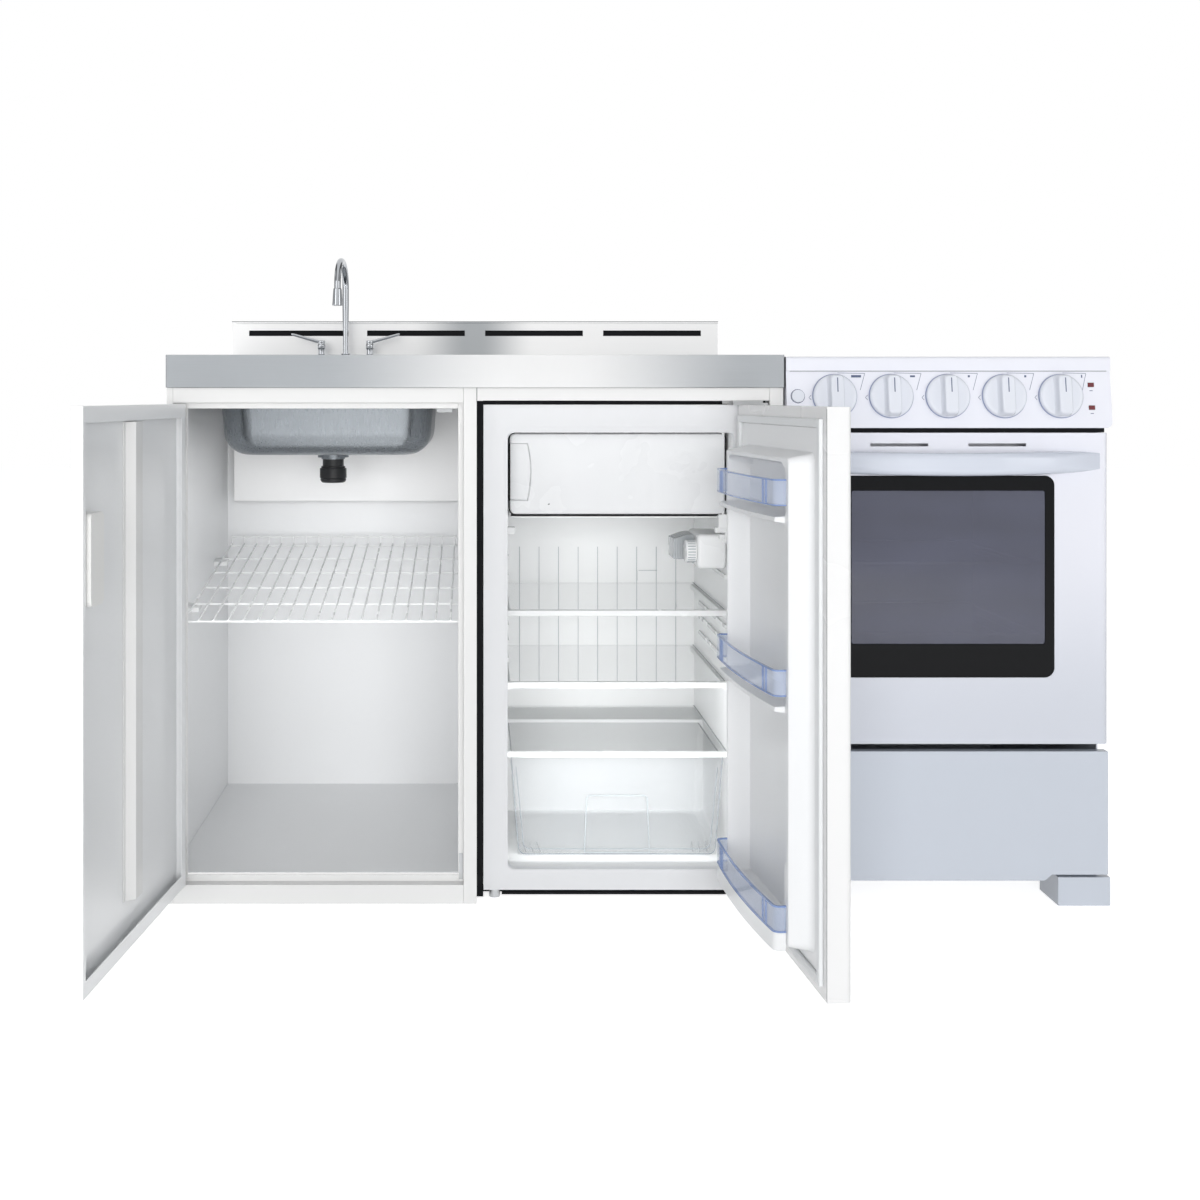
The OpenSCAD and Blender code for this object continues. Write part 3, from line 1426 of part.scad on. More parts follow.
module knob(index) {
    skirt_h = 8;
    grip_h = 17;
    grip_w = 26;
    skirt_r = knob_d / 2;
    neck_r = skirt_r - 5;
    tip_r = skirt_r - 12;
    color("white") at_controls(knob_x(index), knob_face_y, knob_z)
        translate([0, -knob_gap, 0]) rotate([90, 0, 0]) {
            cylinder(r1 = skirt_r, r2 = neck_r, h = skirt_h);
            translate([0, 0, skirt_h - eps]) intersection() {
                translate([-grip_w / 2, -skirt_r, 0]) cube([grip_w, knob_d, grip_h]);
                cylinder(r1 = neck_r, r2 = tip_r, h = grip_h);
            }
            translate([0, 0, -shaft_l]) cylinder(r = shaft_r, h = shaft_l + eps);
        }
}

module knob_1() { knob(0); }
module knob_2() { knob(1); }
module knob_3() { knob(2); }
module knob_4() { knob(3); }
module knob_5() { knob(4); }

module oven_liner() {
    y0 = oven_front_y;
    t = oven_liner_t;
    runner_w = 8;
    runner_h = 8;
    runner_in = 30;
    rack_sag = 3.2;
    color("dimgray") {
        span([oven_x0 - t, y0 + t + seam, oven_floor_h], [oven_x0, oven_y1, oven_z1]);
        span([oven_x1, y0 + t + seam, oven_floor_h], [oven_x1 + t, oven_y1, oven_z1]);
        span([oven_x0 - t, y0 + t + seam, oven_z1 + seam], [oven_x1 + t, oven_y1, oven_z1 + t]);
        span([oven_x0 - t, y0, oven_floor_h - t], [oven_x1 + t, oven_y1, oven_floor_h - seam]);
        span([oven_x0 - t, oven_y1 + seam, oven_floor_h - t], [oven_x1 + t, oven_y1 + t, oven_z1 + t]);
        for (h = oven_rack_heights, x = [oven_x0 + seam, oven_x1 - seam - runner_w])
            translate([x, y0 + runner_in, oven_floor_h + h - runner_h - rack_sag])
                cube([runner_w, oven_d - 2 * runner_in, runner_h]);
    }
}

module oven_racks() {
    rod_r = 2.5;
    bite = 0.5;
    count = 12;
    side = 4;
    rack_in = 26;
    y0 = oven_front_y + rack_in;
    l = oven_d - 2 * rack_in;
    pitch = (oven_w - 2 * side - 2 * rod_r) / (count - 1);
    color("silver") for (h = oven_rack_heights)
        translate([oven_x0 + side + rod_r, y0, oven_floor_h + h]) {
            for (i = [0 : count - 1])
                translate([i * pitch, 0, 0]) rotate([-90, 0, 0]) cylinder(r = rod_r, h = l, $fn = 8);
            for (y = [0, l])
                translate([-rod_r, y, 2 * rod_r - bite]) rotate([0, 90, 0])
                    cylinder(r = rod_r, h = oven_w - 2 * side, $fn = 8);
        }
}

module oven_door_panel() {
    x0 = range_x + oven_side_gap;
    x1 = range_right - oven_side_gap;
    y1 = front_y + oven_door_t;
    round_r = 9;
    vent_w = 93;
    vent_x = 79;
    vent_h = 5;
    vent_down = 22;
    slot_side = 1;
    slot_up = 9;
    bore_l = 8;
    color("white") difference() {
        translate([0, 0, oven_door_z]) linear_extrude(oven_door_h) {
            translate([x0, front_y + round_r]) square([x1 - x0, oven_door_t - round_r]);
            translate([x0 + round_r, front_y]) square([x1 - x0 - 2 * round_r, round_r + eps]);
            for (x = [x0 + round_r, x1 - round_r]) translate([x, front_y + round_r]) circle(round_r);
        }
        upright_plate(range_cx, oven_door_z + window_up, front_y - eps, oven_door_t + 2 * eps,
            window_w, window_h, window_r);
        for (side = [-1, 1])
            translate([range_cx + side * vent_x - vent_w / 2, front_y - eps,
                oven_door_z + oven_door_h - vent_down])
                cube([vent_w, oven_door_t / 2, vent_h]);
        difference() {
            span([x0 + round_r, front_y + skin_t, oven_pin_z + slot_up + skin_t],
                 [x1 - round_r, y1 - skin_t, oven_door_z + oven_door_h - skin_t]);
            upright_plate(range_cx, oven_door_z + window_up, front_y - eps, oven_door_t + 2 * eps,
                          window_w + 2 * skin_t, window_h + 2 * skin_t, window_r);
        }
        for (x = [range_x + arm_in, range_right - arm_in - arm_w]) {
            span([x - slot_side, oven_pin_y - slot_up, oven_door_z - eps],
                 [x + arm_w + slot_side, y1 + eps, oven_pin_z + slot_up]);
            translate([x - bore_l, oven_pin_y, oven_pin_z]) rotate([0, 90, 0])
                cylinder(r = oven_pin_r + pin_fit, h = arm_w + 2 * bore_l);
        }
    }
}

module oven_window() {
    glass_t = 4;
    inner_t = 3;
    proud = 0.5;
    w = window_w - 2 * seam;
    h = window_h - 2 * seam;
    z = oven_door_z + window_up;
    color("dimgray") {
        upright_plate(range_cx, z, front_y - proud, glass_t, w, h, window_r - seam);
        upright_plate(range_cx, z, front_y + oven_door_t - inner_t, inner_t, w, h, window_r - seam);
    }
}

module oven_handle() {
    chord = range_w - 2 * handle_end;
    bar_end = 25;
    bar_t = 24;
    inner_chord = chord - 2 * bar_end;
    inner_bow = handle_bow - bar_t;
    r_out = chord * chord / (8 * handle_bow) + handle_bow / 2;
    r_in = inner_chord * inner_chord / (8 * inner_bow) + inner_bow / 2;
    color("white") translate([range_cx, front_y, oven_door_z + handle_up - handle_h / 2])
        linear_extrude(handle_h) difference() {
            intersection() {
                translate([0, r_out - handle_bow]) circle(r_out, $fn = 128);
                translate([-chord, -chord]) square([2 * chord, chord]);
            }
            translate([0, r_in - inner_bow]) circle(r_in, $fn = 128);
        }
}

module drawer_runners() {
    w = drawer_side_gap - range_t - seam - clear;
    h = 16;
    z = drawer_box_z + 40;
    color("silver") for (x = [range_x + range_t + seam, range_right - range_t - seam - w])
        span([x, side_y0 + 10, z], [x + w, drawer_y1, z + h]);
}

module storage_drawer() {
    x0 = range_x + drawer_side_gap;
    x1 = range_right - drawer_side_gap;
    y0 = front_y + drawer_front_t + seam;
    front_x0 = range_x + oven_side_gap;
    front_x1 = range_right - oven_side_gap;
    notch_w = leg_cover_w + 6;
    notch_z = range_foot_h + 4;
    slant = 12;
    color("white") {
        difference() {
            translate([0, front_y + drawer_front_t, 0]) rotate([90, 0, 0]) linear_extrude(drawer_front_t)
                polygon([
                    [front_x0, notch_z], [front_x0 + notch_w, notch_z],
                    [front_x0 + notch_w + slant, drawer_front_z],
                    [front_x1 - notch_w - slant, drawer_front_z],
                    [front_x1 - notch_w, notch_z], [front_x1, notch_z],
                    [front_x1, drawer_front_z1], [front_x0, drawer_front_z1]
                ]);
            span([front_x0 + skin_t, front_y + skin_t, notch_z + skin_t],
                 [front_x1 - skin_t, front_y + drawer_front_t - skin_t, drawer_front_z1 - skin_t]);
        }
        span([x0, y0, drawer_box_z], [x1, drawer_y1, drawer_box_z + drawer_t]);
        span([x0, y0, drawer_box_z + drawer_t + seam], [x0 + drawer_t, drawer_y1, drawer_box_z1]);
        span([x1 - drawer_t, y0, drawer_box_z + drawer_t + seam], [x1, drawer_y1, drawer_box_z1]);
        span([x0 + drawer_t + seam, drawer_y1 - drawer_t, drawer_box_z + drawer_t + seam],
             [x1 - drawer_t - seam, drawer_y1, drawer_box_z1]);
    }
}

countertop();
backsplash();
sink_bowl();
sink_strainer();
drain_tailpiece();
faucet_body();
faucet_spout();
lever_left();
lever_right();
sink_bay_frame();
fridge_bay_frame();
side_panels();
partition_panel();
cabinet_floor();
cabinet_back();
rear_apron();
wire_shelf();
frame_hinges_and_catches();
door_skin();
door_stiffener();
door_pull();
door_hinge_leaves();
fridge_shell();
fridge_liner();
freezer_box();
freezer_door();
thermostat_housing();
thermostat_dial();
fridge_shelf_upper();
fridge_shelf_lower();
crisper_cover();
crisper_drawer();
fridge_hinges_and_feet();
cooling_unit();
fridge_door_panel();
fridge_door_liner();
door_gasket();
door_rails();
range_shell();
range_feet();
cooktop_frame();
cooktop_glass();
heating_elements();
control_panel();
indicator_lights();
switch_bodies();
light_button();
knob_1();
knob_2();
knob_3();
knob_4();
knob_5();
oven_liner();
oven_racks();
oven_door_panel();
oven_window();
oven_handle();
drawer_runners();
storage_drawer();
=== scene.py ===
"""Looks of the kitchenette: materials, modelled pieces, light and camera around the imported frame.

Metres. The frame's own axes are kept: the fronts face -Y, +Z is up, and the wall plane is y = 0.
"""

import json
import math

import bmesh
import bpy
from mathutils import Matrix, Vector

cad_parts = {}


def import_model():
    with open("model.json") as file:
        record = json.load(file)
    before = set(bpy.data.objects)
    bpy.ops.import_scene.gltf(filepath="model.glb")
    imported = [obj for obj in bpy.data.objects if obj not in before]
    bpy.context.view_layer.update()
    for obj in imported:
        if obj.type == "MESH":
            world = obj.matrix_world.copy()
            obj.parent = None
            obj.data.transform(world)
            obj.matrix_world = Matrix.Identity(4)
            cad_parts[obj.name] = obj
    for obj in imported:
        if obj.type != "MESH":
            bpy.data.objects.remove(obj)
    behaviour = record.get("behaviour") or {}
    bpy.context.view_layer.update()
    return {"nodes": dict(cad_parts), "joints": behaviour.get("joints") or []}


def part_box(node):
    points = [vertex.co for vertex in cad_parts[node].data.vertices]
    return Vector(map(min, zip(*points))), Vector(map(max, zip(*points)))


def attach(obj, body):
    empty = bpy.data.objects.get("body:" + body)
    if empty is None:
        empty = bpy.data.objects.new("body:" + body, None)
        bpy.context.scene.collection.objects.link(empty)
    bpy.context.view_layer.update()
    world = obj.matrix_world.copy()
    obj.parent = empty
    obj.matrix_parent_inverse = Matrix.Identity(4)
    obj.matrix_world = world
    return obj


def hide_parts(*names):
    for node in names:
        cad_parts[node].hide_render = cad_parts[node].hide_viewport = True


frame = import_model()
nodes = frame["nodes"]
MM = 0.001
UNIT = "unit_and_range"

# ---------- places that the frame gives ----------

worktop_low, worktop_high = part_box("countertop")
front_y = worktop_low.y
counter_z = worktop_high.z
unit_left, unit_right = worktop_low.x, worktop_high.x
edge_low_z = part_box("sink_bay_frame")[1].z
shell_low, shell_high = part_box("fridge_shell")
panel_low, panel_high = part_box("control_panel")
door_low, door_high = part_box("oven_door_panel")
drawer_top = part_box("storage_drawer")[1].z
glass_low, glass_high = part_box("cooktop_glass")
rim_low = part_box("cooktop_frame")[0]
range_mid = (panel_low.x + panel_high.x) / 2
bowl_low, bowl_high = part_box("sink_bowl")
bowl_mid = (bowl_low + bowl_high) / 2


# ---------- materials ----------


def linear(value):
    """A screen value from 0 to 1 as the linear value that shows it."""
    return value / 12.92 if value <= 0.04045 else ((value + 0.055) / 1.055) ** 2.4


def colour(text):
    """The colour of a six-digit hex text."""
    return tuple(linear(int(text[i : i + 2], 16) / 255) for i in (0, 2, 4)) + (1.0,)


def add_node(tree, kind, inputs=None, **values):
    """A shader node whose inputs are linked to other nodes' outputs, or set to plain values."""
    made = tree.nodes.new("ShaderNode" + kind)
    for key, value in values.items():
        setattr(made, key, value)
    for socket, source in (inputs or {}).items():
        if isinstance(source, bpy.types.NodeSocket):
            tree.links.new(source, made.inputs[socket])
        else:
            made.inputs[socket].default_value = source
    return made


class Paint:
    """A node material that starts as one Principled surface and is varied by procedural textures."""

    def __init__(self, name, hex_text, roughness, metallic=0.0, **sockets):
        self.material = bpy.data.materials.new(name)
        self.material.use_nodes = True
        self.tree = self.material.node_tree
        self.surface = self.tree.nodes["Principled BSDF"]
        self.base = colour(hex_text)
        self.surface.inputs["Base Color"].default_value = self.base
        self.surface.inputs["Roughness"].default_value = roughness
        self.surface.inputs["Metallic"].default_value = metallic
        for socket, value in sockets.items():
            self.surface.inputs[socket.replace("_", " ")].default_value = value
        self.place = self.node("TexCoord").outputs["Object"]
        self.material.diffuse_color = self.base

    def node(self, kind, inputs=None, **values):
        return add_node(self.tree, kind, inputs, **values)

    def link(self, source, socket):
        self.tree.links.new(source, self.surface.inputs[socket])

    def noise(self, scale, stretch=(1, 1, 1), detail=3.0):
        """Noise at a scale per metre, drawn out along the axes whose stretch is small."""
        mapping = self.node("Mapping", {"Scale": stretch, "Vector": self.place})
        inputs = {"Scale": scale, "Detail": detail, "Roughness": 0.55, "Vector": mapping.outputs["Vector"]}
        return self.node("TexNoise", inputs).outputs["Fac"]

    def cells(self, scale):
        return self.node("TexVoronoi", {"Scale": scale, "Vector": self.place}).outputs["Distance"]

    def near(self, axis, middle, full, none):
        """One within a distance of a place along an axis, falling smoothly to zero further out."""
        parts = self.node("SeparateXYZ", {"Vector": self.place})
        away = self.node("Math", {0: parts.outputs[axis], 1: middle}, operation="SUBTRACT")
        size = self.node("Math", {0: away.outputs[0]}, operation="ABSOLUTE")
        return self.spread(size.outputs[0], 1.0, 0.0, full, none, interpolation_type="SMOOTHSTEP")

    def spread(self, value, low, high, start=0.35, end=0.65, **values):
        inputs = {"From Min": start, "From Max": end, "To Min": low, "To Max": high, "Value": value}
        return self.node("MapRange", inputs, **values).outputs["Result"]

    def tint(self, value, hex_text, amount, start=0.35, end=0.65):
        """Mixes the base colour towards another one where the value is high."""
        mix = self.node("Mix", data_type="RGBA")
        self.tree.links.new(self.spread(value, 0.0, amount, start, end), mix.inputs["Factor"])
        mix.inputs["A"].default_value = self.base
        mix.inputs["B"].default_value = colour(hex_text)
        earlier = self.surface.inputs["Base Color"].links
        if earlier:
            self.tree.links.new(earlier[0].from_socket, mix.inputs["A"])
        self.link(mix.outputs["Result"], "Base Color")

    def tone(self, value, hex_text, amount=1.0):
        """A tint that grows evenly with the whole range of a value."""
        self.tint(value, hex_text, amount, 0.0, 1.0)

    def gloss(self, value, low, high):
        self.link(self.spread(value, low, high, 0.0, 1.0), "Roughness")

    def relief(self, value, depth, strength):
        """Bump of a real depth in metres."""
        bump = self.node("Bump", {"Strength": strength, "Distance": depth, "Height": value})
        self.link(bump.outputs["Normal"], "Normal")

    def peel(self, scale):
        """The faint unevenness of a sprayed or moulded skin."""
        self.relief(self.noise(scale, detail=0.0), 0.00002, 0.3)


PEEL, GRAIN = 45.0, 60.0
ENAMEL = {"Coat_Weight": 0.2, "Coat_Roughness": 0.1}
STEEL_X, STEEL_Z = (0.006, 1, 1), (1, 1, 0.01)
DULL = {"Specular_IOR_Level": 0.1}
SHINY = {"Coat_Weight": 0.3}


def enamel(name, hex_text, shade, roughness=0.22, **sockets):
    """Painted or enamelled sheet: a slow change of tone, a faint orange peel and soft wiping marks."""
    paint = Paint(name, hex_text, roughness, **{**ENAMEL, **sockets})
    paint.tone(paint.noise(1.6, detail=1.0), shade, 0.6)
    paint.gloss(paint.noise(4.0, (1, 1, 2), detail=2.0), roughness - 0.02, roughness + 0.04)
    paint.peel(PEEL)
    return paint.material


def moulded(name, hex_text, shade, roughness=0.35, **sockets):
    """Moulded plastic with a fine grain and slightly uneven tone."""
    paint = Paint(name, hex_text, roughness, **sockets)
    paint.tone(paint.noise(3.0, detail=1.0), shade, 0.6)
    paint.gloss(paint.noise(14.0, detail=2.0), roughness - 0.03, roughness + 0.05)
    paint.peel(GRAIN)
    return paint.material


def brushed(name, hex_text, dark, light, along, roughness=0.3):
    """Brushed stainless steel: hair-fine streaks along one direction under broad, soft tones."""
    paint = Paint(name, hex_text, roughness, metallic=1.0)
    grain = paint.noise(1500.0, along, detail=2.0)
    paint.tint(grain, dark, 0.18)
    paint.tint(paint.noise(2.4, tuple(0.4 + a for a in along), detail=1.0), light, 0.35, 0.3, 0.7)
    paint.gloss(paint.noise(500.0, along, detail=2.0), roughness - 0.03, roughness + 0.05)
    paint.relief(grain, 0.00001, 0.15)
    return paint


def worktop_steel():
    """The worktop's sheet, with painted light: a painted reflection makes its front edge bright below the
    middle of the unit, and painted shade makes it darker at its end corners.
    """
    paint = brushed("worktop_steel", "AFB3B7", "9BA0A4", "BCBFC2", STEEL_X)
    reflection_x = unit_left + 0.6
    # Painted reflection: a bright band on the front edge, standing for the front lamp mirrored in the
    # steel.
    paint.tone(paint.near("X", reflection_x, 0.04, 0.36), "F0F0F0", 0.85)
    # Painted shade: a thin dark line at each end corner.
    for end_x, shade in ((unit_left, "4A4E52"), (unit_right, "5A5E62")):
        paint.tone(paint.near("X", end_x, 0.4 * MM, 1.2 * MM), shade, 0.8)
    return paint.material


def splash_steel():
    """The backsplash: near white, with a painted reflection: a grey band that stands for the dark side of
    the room mirrored in it.
    """
    paint = brushed("backsplash_steel", "FAFAFA", "EBECEC", "FFFFFF", STEEL_X)
    reflection_band_x = unit_left + 0.495
    # Painted reflection: the grey band is painted into the base colour.
    paint.tone(paint.near("X", reflection_band_x, 0.012, 0.13), "A6AAAD", 0.9)
    return paint.material


def liner_plastic():
    """The refrigerator's white inside, whose front flange is a little greyer; the whole liner is painted
    brighter than the door's liner of the same plastic, as painted light for the shaded cavity.
    """
    # Painted light: a brighter white than the door's liner, to lift the shaded cavity.
    paint = Paint("liner_plastic", "FAFBFB", 0.34)
    paint.tone(paint.noise(3.0, detail=1.0), "F5F6F7", 0.6)
    paint.tone(paint.near("Y", shell_low.y, 3 * MM, 30 * MM), "DFE0E2")
    paint.peel(GRAIN)
    return paint.material


def range_white():
    """The range's cool white enamel, with painted shade that makes it darker towards the floor and the foot
    of the oven door.
    """
    paint = Paint("range_enamel", "E7E8F0", 0.22, **ENAMEL)
    # Painted shade: darker towards the floor.
    paint.tone(paint.near("Z", 0.0, 0.28, 0.62), "C9CDD6")
    paint.tone(paint.noise(1.6, detail=1.0), "DCDFE8", 0.3)
    paint.peel(PEEL)
    return paint.material


def bright(name, hex_text, roughness=0.05):
    """Chrome or bright wire with faint smudges."""
    paint = Paint(name, hex_text, roughness, metallic=1.0)
    paint.tint(paint.noise(18.0), "9A9EA3", 0.2)
    paint.gloss(paint.noise(55.0), roughness, roughness + 0.05)
    return paint.material


def see_through(name, hex_text, alpha, roughness=0.06, shade="FFFFFF", streak=(1, 1, 1)):
    """Thin clear plastic or glass, tinted, with a soft change of tone."""
    paint = Paint(name, hex_text, roughness, Alpha=alpha, Coat_Weight=0.2)
    paint.tint(paint.noise(12.0, streak), shade, 0.35)
    paint.gloss(paint.noise(40.0), roughness, roughness + 0.04)
    return paint.material


def speckled(name, hex_text, fleck):
    """Dark enamel with small pale flecks."""
    paint = Paint(name, hex_text, 0.35, **SHINY)
    paint.tint(paint.spread(paint.cells(420.0), 1.0, 0.0, 0.06, 0.16), fleck, 0.7)
    paint.gloss(paint.noise(25.0), 0.3, 0.5)
    return paint.material


def zone_lines(radius):
    """The printed rings of a cooking zone, as pairs of a radius and half a width."""
    return ((radius, 1.1 * MM), (radius - 5 * MM, 0.5 * MM), (4 * MM, 0.7 * MM))


def hob_glass():
    """Black glass-ceramic with a thin pale ring printed round each cooking zone."""
    paint = Paint("hob_glass", "101114", 0.07, Coat_Weight=0.4)
    zone_x, zone_y = 118 * MM, 142 * MM
    wide_zone, small_zone = 92 * MM, 72 * MM
    middle = (glass_low + glass_high) / 2
    total = 0.0
    for i, j in ((-1, -1), (-1, 1), (1, -1), (1, 1)):
        centre = (middle.x + i * zone_x, middle.y + j * zone_y, glass_high.z)
        away = paint.node("VectorMath", {0: paint.place, 1: centre}, operation="DISTANCE")
        for ring, half_width in zone_lines(wide_zone if i * j > 0 else small_zone):
            inputs = {0: away.outputs["Value"], 1: ring, 2: half_width}
            line = paint.node("Math", inputs, operation="COMPARE")
            total = paint.node("Math", {0: total, 1: line.outputs[0]}, operation="MAXIMUM").outputs[0]
    paint.tone(total, "A9ACB2")
    paint.gloss(paint.noise(20.0), 0.05, 0.1)
    return paint.material


mats = {
    "worktop": worktop_steel(),
    "splash": splash_steel(),
    "bowl": brushed("bowl_steel", "8B9095", "74797D", "9DA2A6", STEEL_Z, 0.27).material,
    "chrome": bright("faucet_chrome", "BCBFC3"),
    # cabinet_in, apron and door_in are brighter copies of the cabinet's white paint: painted light for the
    # shaded inside of the sink bay and the open door's inner face.
    "cabinet": enamel("cabinet_white", "E5E5E4", "E1E1E1", 0.3),
    "cabinet_in": enamel("cabinet_grey", "F3F4F5", "F0F1F2", 0.34),
    "apron": enamel("apron_lit_copy", "FAFAFA", "F7F7F7", 0.34),
    "door_in": enamel("door_inside_lit_copy", "F1F2F3", "EDEFF0", 0.3),
    "fridge": enamel("fridge_white", "E6E6E6", "E3E3E3", 0.26),
    "liner": liner_plastic(),
    "door_liner": moulded("door_liner_plastic", "E9EAEB", "E4E5E7", 0.3),
    "freezer": moulded("freezer_plastic", "E6E7E8", "E2E3E5", 0.26),
    "rib": moulded("rib_shade", "A9B0B4", "9DA4A8", 0.4),
    "shelf": see_through("shelf_glass", "EAF1F1", 0.1),
    "trim": moulded("shelf_trim", "F6F7F7", "F0F1F2", 0.26),
    "crisper": see_through("crisper_plastic", "E4E9EC", 0.14, 0.1, "F4F6F7", (1, 1, 0.2)),
    "crisper_edge": see_through("crisper_edge_plastic", "8F9AA6", 0.55, 0.12, "B4BDC6"),
    "bead": see_through("shelf_bead", "9FA9AE", 0.45, 0.12, "C4CBCF"),
    "drain": moulded("drain_black", "141517", "1F2022", 0.3),
    "lamp_cover": see_through("lamp_cover_plastic", "C4C9CD", 0.7, 0.16, "DDE1E4"),
    "rail": see_through("rail_plastic", "BCCDEF", 0.28, 0.06, "E2EAF8", (0.3, 0.3, 0.04)),
    "rail_edge": see_through("rail_edge_plastic", "7E9AD2", 0.7, 0.1, "A2B6E0"),
    "gasket": moulded("gasket_rubber", "E6E8E9", "DEE0E2", 0.5),
    # This black also colours plates that paint the shade in gaps, slots and joints.
    "black": moulded("black_plastic_and_shadow", "121315", "1B1C1E", 0.5, **DULL),
    "seam": moulded("seam_shade", "54595D", "464B4F", 0.6, **DULL),
    "black_steel": enamel("black_steel", "151618", "202123", 0.4, Coat_Weight=0.0, **DULL),
    "zinc": brushed("hinge_steel", "B9BBBD", "8F9294", "D9DADB", STEEL_Z, 0.32).material,
    "pull": moulded("pull_plastic", "F0F0EE", "E6E6E4", 0.32),
    "range": range_white(),
    "drawer": enamel("drawer_enamel", "C7CDD6", "C2C8D3", 0.24),
    "knob": moulded("knob_plastic", "DDE0E8", "D7DBE4", 0.2, **SHINY),
    # The skirt's dark blue-grey is partly painted shade: it draws the shadow crescent under each knob's
    # disc as well as the disc's edge.
    "knob_skirt": moulded("knob_skirt_plastic", "8C96B4", "7C87A8", 0.3),
    "handle": moulded("handle_plastic", "D3D8E3", "CCD2DE", 0.2, **SHINY),
    "mark": moulded("mark_ink", "5A6482", "48526E", 0.5),
    "lamp": moulded("lamp_red", "6E1420", "3F0A12", 0.15, Coat_Weight=0.6),
    "oven": speckled("oven_enamel", "6B6F7E", "9499A8"),
    "frit": moulded("window_frit", "101113", "17181A", 0.16, Specular_IOR_Level=0.12),
    "pane": see_through("window_glass", "5E6070", 0.6, 0.05, "70738A", (0.4, 0.4, 1.4)),
    "inner_pane": see_through("window_inner_glass", "4A4C58", 0.16, 0.05),
    "rack": bright("rack_wire", "DADDE2", 0.16),
    "element": bright("element_metal", "6A6D72", 0.4),
    "hob": hob_glass(),
}


# ---------- mesh helpers ----------


def soften(obj, width, segments=3):
    """Rounds a piece's sharp edges, and shades it smoothly between them."""
    if width > 0:
        made = obj.modifiers.new("bevel", "BEVEL")
        made.width = width
        made.segments = segments
        made.limit_method = "ANGLE"
        made.angle_limit = math.radians(38)
        made.miter_outer = "MITER_ARC"
    normals = obj.modifiers.new("normals", "WEIGHTED_NORMAL")
    normals.weight = 60
    normals.keep_sharp = True


def mesh_of(name, make):
    """A mesh that a function fills through bmesh, with its sharp folds marked."""
    fold = math.radians(40)
    bm = bmesh.new()
    make(bm)
    bmesh.ops.remove_doubles(bm, verts=bm.verts, dist=1e-6)
    bmesh.ops.recalc_face_normals(bm, faces=bm.faces)
    for edge in bm.edges:
        edge.smooth = len(edge.link_faces) != 2 or edge.calc_face_angle() < fold
    mesh = bpy.data.meshes.new(name)
    bm.to_mesh(mesh)
    bm.free()
    return mesh


def piece(name, make, material, body=UNIT, stands_for=None, bevel=0.0, segments=3):
    """Makes a smooth piece that rides on a body, and may stand for a CAD node."""
    mesh = mesh_of(name, make)
    obj = bpy.data.objects.new(name, mesh)
    bpy.context.scene.collection.objects.link(obj)
    mesh.materials.append(mats[material])
    mesh.shade_smooth()
    soften(obj, bevel, segments)
    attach(obj, body)
    if stands_for:
        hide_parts(stands_for)


def loft(bm, rings, caps=True):
    """Joins rings of equally many points into one skin, whose ends are capped or joined."""
    rows = [[bm.verts.new(p) for p in ring] for ring in rings]
    count = len(rows[0])
    for low, high in zip(rows, rows[1:]):
        for i in range(count):
            j = (i + 1) % count
            bm.faces.new((low[i], low[j], high[j], high[i]))
    if caps:
        bm.faces.new(list(reversed(rows[0])))
        bm.faces.new(rows[-1])


def hoop(bm, rings):
    """Joins rings into one skin that closes on itself."""
    loft(bm, rings + [rings[0]], caps=False)


def circle(radius, count):
    """Points of a circle round the origin, as pairs."""
    turns = [2 * math.pi * k / count for k in range(count)]
    return [(radius * math.cos(t), radius * math.sin(t)) for t in turns]


def rounded_ring(half_a, half_b, radius, steps=8):
    """Points of a rounded rectangle round the origin, as pairs."""
    radius = min(radius, half_a - 1e-5, half_b - 1e-5)
    points = []
    for turn, (sx, sy) in enumerate(((1, 1), (-1, 1), (-1, -1), (1, -1))):
        for k in range(steps + 1):
            a = math.pi / 2 * (turn + k / steps)
            x = sx * (half_a - radius) + radius * math.cos(a)
            y = sy * (half_b - radius) + radius * math.sin(a)
            points.append((x, y))
    return points


def upright_ring(box, grow, radius, y):
    """A rounded rectangle that stands at y; box is x0, x1, z0, z1, and grow widens it all round."""
    x0, x1, z0, z1 = box
    ring = rounded_ring((x1 - x0) / 2 + grow, (z1 - z0) / 2 + grow, max(radius + grow, 0.1 * MM))
    return [((x0 + x1) / 2 + a, y, (z0 + z1) / 2 + b) for a, b in ring]


def slab(bm, box, y0, y1, radius):
    """A plate with rounded corners and eased rims between two depths."""
    rim = min(0.8 * MM, (y1 - y0) / 3)
    steps = ((-rim, y0), (0, y0 + rim), (0, y1 - rim), (-rim, y1))
    loft(bm, [upright_ring(box, grow, radius, y) for grow, y in steps])


def block(bm, xs, ys, zs):
    """A plain bar between two values on each axis."""
    for v in bmesh.ops.create_cube(bm, size=1.0)["verts"]:
        v.co = Vector(low + (high - low) * (c + 0.5) for c, (low, high) in zip(v.co, (xs, ys, zs)))


def tube(bm, points, radii, sides=24):
    """A round tube along points, with its own radius at each of them."""
    points = [Vector(p) for p in points]
    side = None
    rings = []
    for i, p in enumerate(points):
        ahead = points[min(i + 1, len(points) - 1)] - points[max(i - 1, 0)]
        ahead.normalize()
        if side is None:
            side = ahead.orthogonal().normalized()
        side = (side - ahead * side.dot(ahead)).normalized()
        other = ahead.cross(side)
        rings.append([p + radii[i] * (a * side + b * other) for a, b in circle(1, sides)])
    loft(bm, rings)


def wire(bm, points, radius, sides=8):
    tube(bm, points, [radius] * len(points), sides)


def lathe(bm, profile, sides=64):
    """Turns pairs of a radius and a height in millimetres about Z."""
    loft(bm, [[(x, y, z * MM) for x, y in circle(r * MM, sides)] for r, z in profile])


